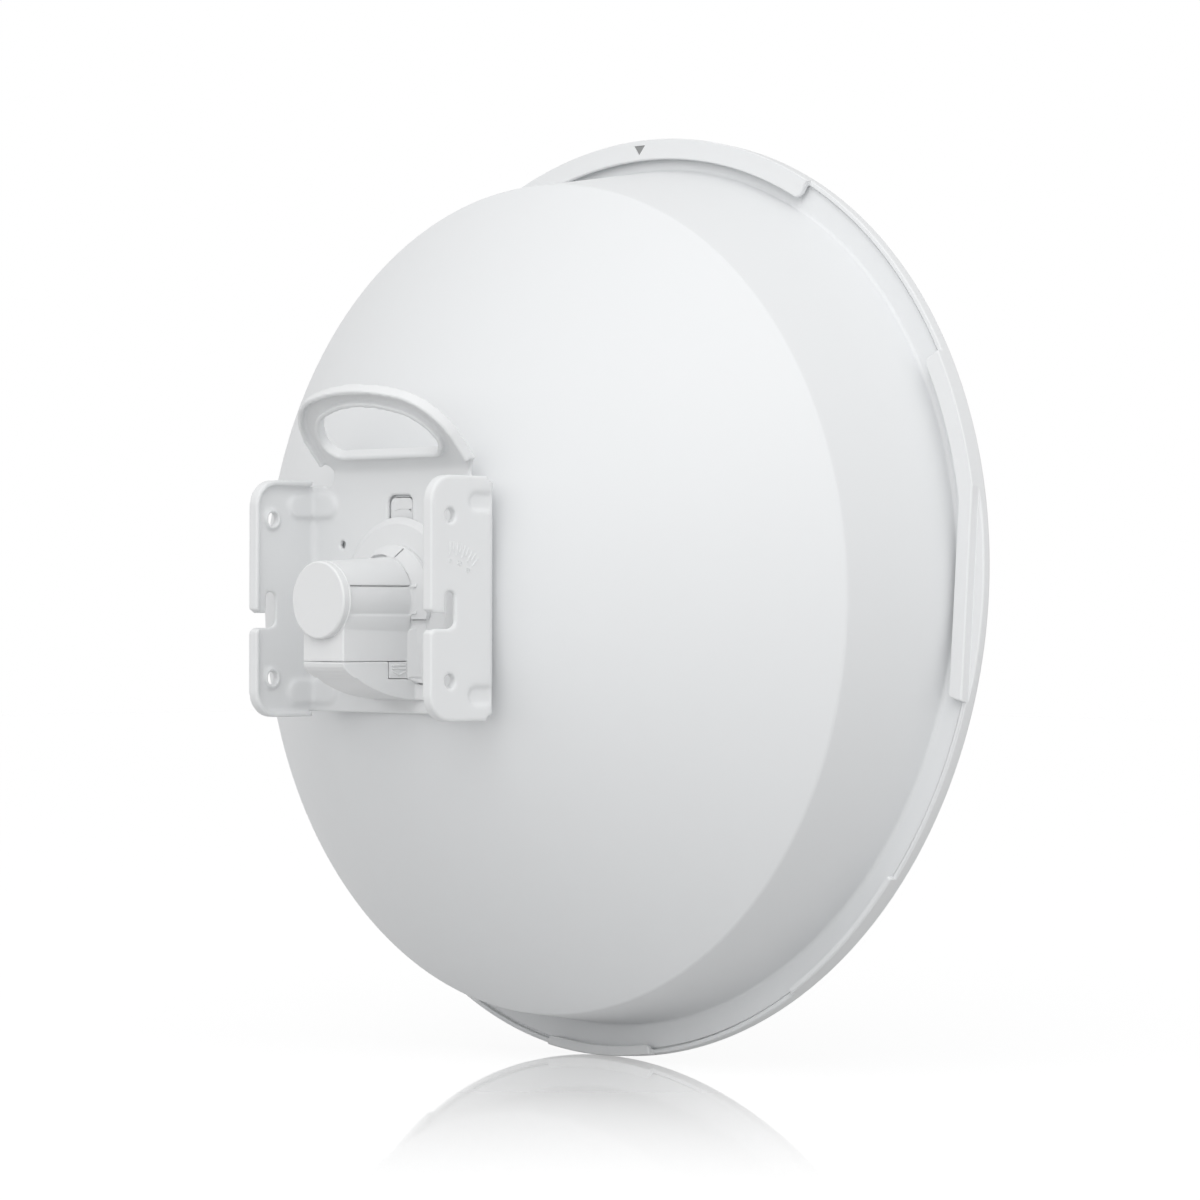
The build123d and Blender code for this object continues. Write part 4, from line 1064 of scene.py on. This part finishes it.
panelGap = {
    "face": 14.2, "start": -24.0, "width": 3.7, "half": 6.9, "topFlare": 1.3, "topCorner": 1.5,
    "lowFlare": 0.9, "lowCorner": 1.2, "depth": 5.0,
}


def panelGaps():
    # the dark gap where each side panel stops short of the collar
    low, half = panelGap["start"], panelGap["half"]
    high = low + panelGap["width"]
    corners = (
        (low, -half), (low, half), (high + panelGap["topFlare"], half), (high, half - panelGap["topCorner"]),
        (high, panelGap["lowCorner"] - half), (high + panelGap["lowFlare"], -half),
    )
    outlines = []
    for side in (-1, 1):
        outline = [Vector((side * panelGap["face"], y, z)) for y, z in corners]
        outlines.append((outline, Vector((side * panelGap["depth"], 0, 0))))
    return prismMesh("panelGaps", outlines)


def buildHousing():
    plastic = materials["housingPlastic"]
    neck = cheekMesh("neckCheeks", housing["neckLevels"], housing["flareEnd"])
    piece = softCopy("radioBody", "radio_body", housing["bodyCell"], extra=neck, cutters=panelGaps())
    drawOut(piece)
    settle(piece, plastic, "bridge", "housing_plastic", "radio_body")
    piece = softCopy("topCover", "top_cover", housing["coverCell"], grow=housing["coverGrow"])
    drawOut(piece)
    settle(piece, plastic, "bridge", "housing_plastic", "top_cover")
    outline = [Vector((-housing["side"], y, z)) for y, z in housing["shoulder"]]
    more = bmesh.new()
    more.from_mesh(cheekMesh("doorCheeks", housing["doorLevels"], housing["plate"]))
    more.from_mesh(prismMesh("doorShoulder", [(outline, Vector((2 * housing["side"], 0, 0)))]))
    extra = bpy.data.meshes.new("doorExtra")
    more.to_mesh(extra)
    more.free()
    piece = softCopy("cableDoor", "cable_door", housing["doorCell"], extra=extra, grow=housing["grow"])
    drawOut(piece)
    settle(piece, plastic, "cable_door", "housing_plastic", "cable_door")


latchPad = {
    "cell": 0.18, "passes": 2, "grow": 0.16, "face": 14.1, "sink": 0.3, "relief": 0.5, "width": 0.5,
    "rear": -9.3, "front": -18.1, "lines": (-30.6, -32.1),
    "chevron": ((-9.7, -33.5), (-13.9, -35.1), (-17.8, -33.5)),
}


def buildLatches():
    pad, across = latchPad, Vector((1, 0, 0))
    spans = [((pad["rear"], z), (pad["front"], z)) for z in pad["lines"]]
    spans += list(zip(pad["chevron"], pad["chevron"][1:]))
    for side, hand in ((1, "left"), (-1, "right")):
        node, x = f"door_latch_{hand}", side * (pad["face"] - pad["sink"])
        push = Vector((side * (pad["sink"] + pad["relief"]), 0, 0))
        bars = [barOutline(Vector((x, *a)), Vector((x, *b)), pad["width"], across) for a, b in spans]
        marks = prismMesh("padMarks", [(bar, push) for bar in bars])
        name = "doorLatch" + hand.capitalize()
        piece = softCopy(name, node, pad["cell"], pad["passes"], marks, grow=pad["grow"])
        drawOut(piece)
        settle(piece, materials["housingPlastic"], node, "housing_plastic", node)


release = {
    "shift": 0.7, "halfWidth": 7.45, "low": 34.4, "high": 48.0, "corner": 3.0,
    "face": -28.9, "thickness": 2.0, "edge": 0.3,
    "grip": ((5.4, 42.0), (1.5, 42.8), (-3.8, 42.6), (-3.8, 42.2), (1.5, 42.35)), "gripDepth": 1.35,
    "notch": ((-3.9, 42.4), (-6.0, 43.0), (-6.0, 41.0)), "notchDepth": 2.2,
}


def buildRelease():
    tongue, face = release, release["face"]
    outline = slotOutline(
        tongue["halfWidth"], tongue["low"], tongue["high"], tongue["corner"], face, tongue["shift"]
    )
    blank = prismMesh("releaseLatch", [(outline, Vector((0, -tongue["thickness"], 0)))])
    piece = addObject("releaseLatch", blank)
    for key in ("grip", "notch"):
        outline = [Vector((x, face + 1, z)) for x, z in tongue[key]]
        cutAway(piece, prismMesh(key + "Cut", [(outline, Vector((0, -tongue[key + "Depth"], 0)))]))
    edges = piece.modifiers.new("edges", "BEVEL")
    edges.width, edges.segments, edges.limit_method = tongue["edge"] * mm, 3, "ANGLE"
    finalMesh(piece)
    smoothShade(piece, 40)
    settle(piece, materials["housingPlastic"], "release_latch", "housing_plastic", "release_latch")


buildEndCap()
buildBase()
buildCollar()
buildHousing()
buildLatches()
buildRelease()
print("housing made")

# what keeps the frame's own shape and only gets a finish
inside = {
    "radio_board": "circuitBoard", "dipole_cross": "circuitBoard",
    "radio_shield": "tinnedShield", "processor_shield": "tinnedShield",
    "radio_chips": "blackEpoxy", "lan_transformer": "blackEpoxy", "reset_switch": "blackEpoxy",
    "thermal_pad": "gapPad", "heat_spreader": "bareAluminium", "sub_reflector": "bareAluminium",
    "network_jack": "jackPlastic", "jack_contacts": "contactGold", "reset_button": "buttonPlastic",
    "status_lamps": "lampPlastic", "light_pipes": "clearPlastic", "feed_seal": "sealRubber",
    "feed_tube": "housingPlastic", "feed_cap": "housingPlastic",
}
for node, finish in inside.items():
    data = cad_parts[node].data
    data.materials.clear()
    data.materials.append(materials[finish])
print("inside finished")

# stage
stage = {
    "floorZ": -226.9, "floorSize": 12000, "floorBounce": 0.62, "shadow": 0.30,
    "mirror": 0.58, "mirrorRoughness": 0.03,
    "fadeStart": -0.12, "fadeEnd": 0.48, "glow": 0.78,
    "levelAll": 0.745, "slope": (-0.41, 0.52, -0.03), "darkest": 0.02,
}


def whiteRays(tree):
    # 1 for rays that should see a white studio
    path = addNode(tree, "ShaderNodeLightPath")
    seen = mathNode(tree, "MAXIMUM", path.outputs["Is Camera Ray"], path.outputs["Is Glossy Ray"])
    return mathNode(tree, "MAXIMUM", seen, path.outputs["Is Transmission Ray"]), path


def buildWorld():
    world = bpy.data.worlds.new("studio")
    scene.world = world
    world.use_nodes = True
    tree = world.node_tree
    direction = addNode(tree, "ShaderNodeTexCoord").outputs["Generated"]
    dot = addNode(tree, "ShaderNodeVectorMath", operation="DOT_PRODUCT")
    tree.links.new(direction, dot.inputs[0])
    dot.inputs[1].default_value = stage["slope"]
    sloped = mathNode(tree, "ADD", dot.outputs["Value"], stage["levelAll"])
    soft = mathNode(tree, "MAXIMUM", sloped, stage["darkest"])
    white, _ = whiteRays(tree)
    level = addNode(tree, "ShaderNodeMix", data_type="FLOAT")
    tree.links.new(white, level.inputs[0])
    tree.links.new(soft, level.inputs[2])
    level.inputs[3].default_value = 1.0
    background = tree.nodes["Background"]
    background.inputs["Color"].default_value = (1, 1, 1, 1)
    tree.links.new(level.outputs[0], background.inputs["Strength"])


camera = {
    "place": (-1489.8, 1338.2, -7.9), "lens": 127.5, "sensor": 36,
    "right": (-0.7096, -0.7046, 0.0025), "up": (-0.0009, 0.0044, 1.0), "back": (-0.7046, 0.7096, -0.0037),
}


def buildFloor():
    half = stage["floorSize"] / 2 * mm
    z = stage["floorZ"] * mm
    mesh = bpy.data.meshes.new("floor")
    corners = [(-half, -half, z), (half, -half, z), (half, half, z), (-half, half, z)]
    mesh.from_pydata(corners, [], [(0, 1, 2, 3)])
    floor = addObject("floor", mesh)
    material = bpy.data.materials.new("floorSheet")
    material.use_nodes = True
    tree = material.node_tree
    tree.nodes.clear()
    place = addNode(tree, "ShaderNodeTexCoord").outputs["Object"]
    white, path = whiteRays(tree)
    # distance in front of the part, towards the camera
    ahead = addNode(tree, "ShaderNodeVectorMath", operation="DOT_PRODUCT")
    tree.links.new(place, ahead.inputs[0])
    toCamera = Vector((camera["back"][0], camera["back"][1], 0)).normalized()
    ahead.inputs[1].default_value = toCamera
    fade = addNode(tree, "ShaderNodeMapRange", interpolation_type="SMOOTHSTEP")
    tree.links.new(ahead.outputs["Value"], fade.inputs["Value"])
    fade.inputs["From Min"].default_value = stage["fadeStart"]
    fade.inputs["From Max"].default_value = stage["fadeEnd"]
    fade.inputs["To Min"].default_value = stage["mirror"]
    fade.inputs["To Max"].default_value = 0.0
    emission = addNode(tree, "ShaderNodeEmission")
    emission.inputs["Strength"].default_value = stage["glow"]
    shade = addNode(tree, "ShaderNodeBsdfDiffuse")
    shade.inputs["Color"].default_value = (*[stage["shadow"]] * 3, 1)
    mirror = addNode(tree, "ShaderNodeBsdfGlossy")
    mirror.inputs["Color"].default_value = (1, 1, 1, 1)
    mirror.inputs["Roughness"].default_value = stage["mirrorRoughness"]
    bounce = addNode(tree, "ShaderNodeBsdfDiffuse")
    bounce.inputs["Color"].default_value = (*[stage["floorBounce"]] * 3, 1)

    def mixed(share, first, second):
        node = addNode(tree, "ShaderNodeMixShader")
        tree.links.new(share, node.inputs[0])
        tree.links.new(first, node.inputs[1])
        tree.links.new(second, node.inputs[2])
        return node.outputs[0]

    lit = addNode(tree, "ShaderNodeAddShader")
    tree.links.new(emission.outputs[0], lit.inputs[0])
    tree.links.new(shade.outputs[0], lit.inputs[1])
    cameraMirror = mathNode(tree, "MULTIPLY", fade.outputs["Result"], path.outputs["Is Camera Ray"])
    shown = mixed(cameraMirror, lit.outputs[0], mirror.outputs[0])
    output = addNode(tree, "ShaderNodeOutputMaterial")
    tree.links.new(mixed(white, bounce.outputs[0], shown), output.inputs["Surface"])
    floor.data.materials.append(material)


lamps = {
    # name: direction from the part, distance mm, size mm, watts
    "keySoftbox": ((-0.45, 0.55, 0.70), 1900, 1500, 7.0),
}


def buildLamps():
    for name, (direction, distance, size, watts) in lamps.items():
        data = bpy.data.lights.new(name, "AREA")
        data.shape = "DISK"
        data.size = size * mm
        data.energy = watts
        lamp = bpy.data.objects.new(name, data)
        scene.collection.objects.link(lamp)
        away = Vector(direction).normalized()
        lamp.location = away * distance * mm + Vector((0, -0.1, 0))
        lamp.rotation_mode = "QUATERNION"
        lamp.rotation_quaternion = away.to_track_quat("Z", "Y")


def buildCamera():
    data = bpy.data.cameras.new("camera")
    data.sensor_width = camera["sensor"]
    data.lens = camera["lens"]
    data.clip_start, data.clip_end = 0.05, 50
    eye = bpy.data.objects.new("camera", data)
    scene.collection.objects.link(eye)
    axes = [Vector(camera[key]).normalized() for key in ("right", "up", "back")]
    turn = Matrix((axes[0], axes[1], axes[2])).transposed().to_4x4()
    eye.matrix_world = Matrix.Translation(Vector(camera["place"]) * mm) @ turn
    scene.camera = eye


buildWorld()
buildFloor()
buildLamps()
buildCamera()
scene.view_settings.view_transform = "Standard"
print("stage made")
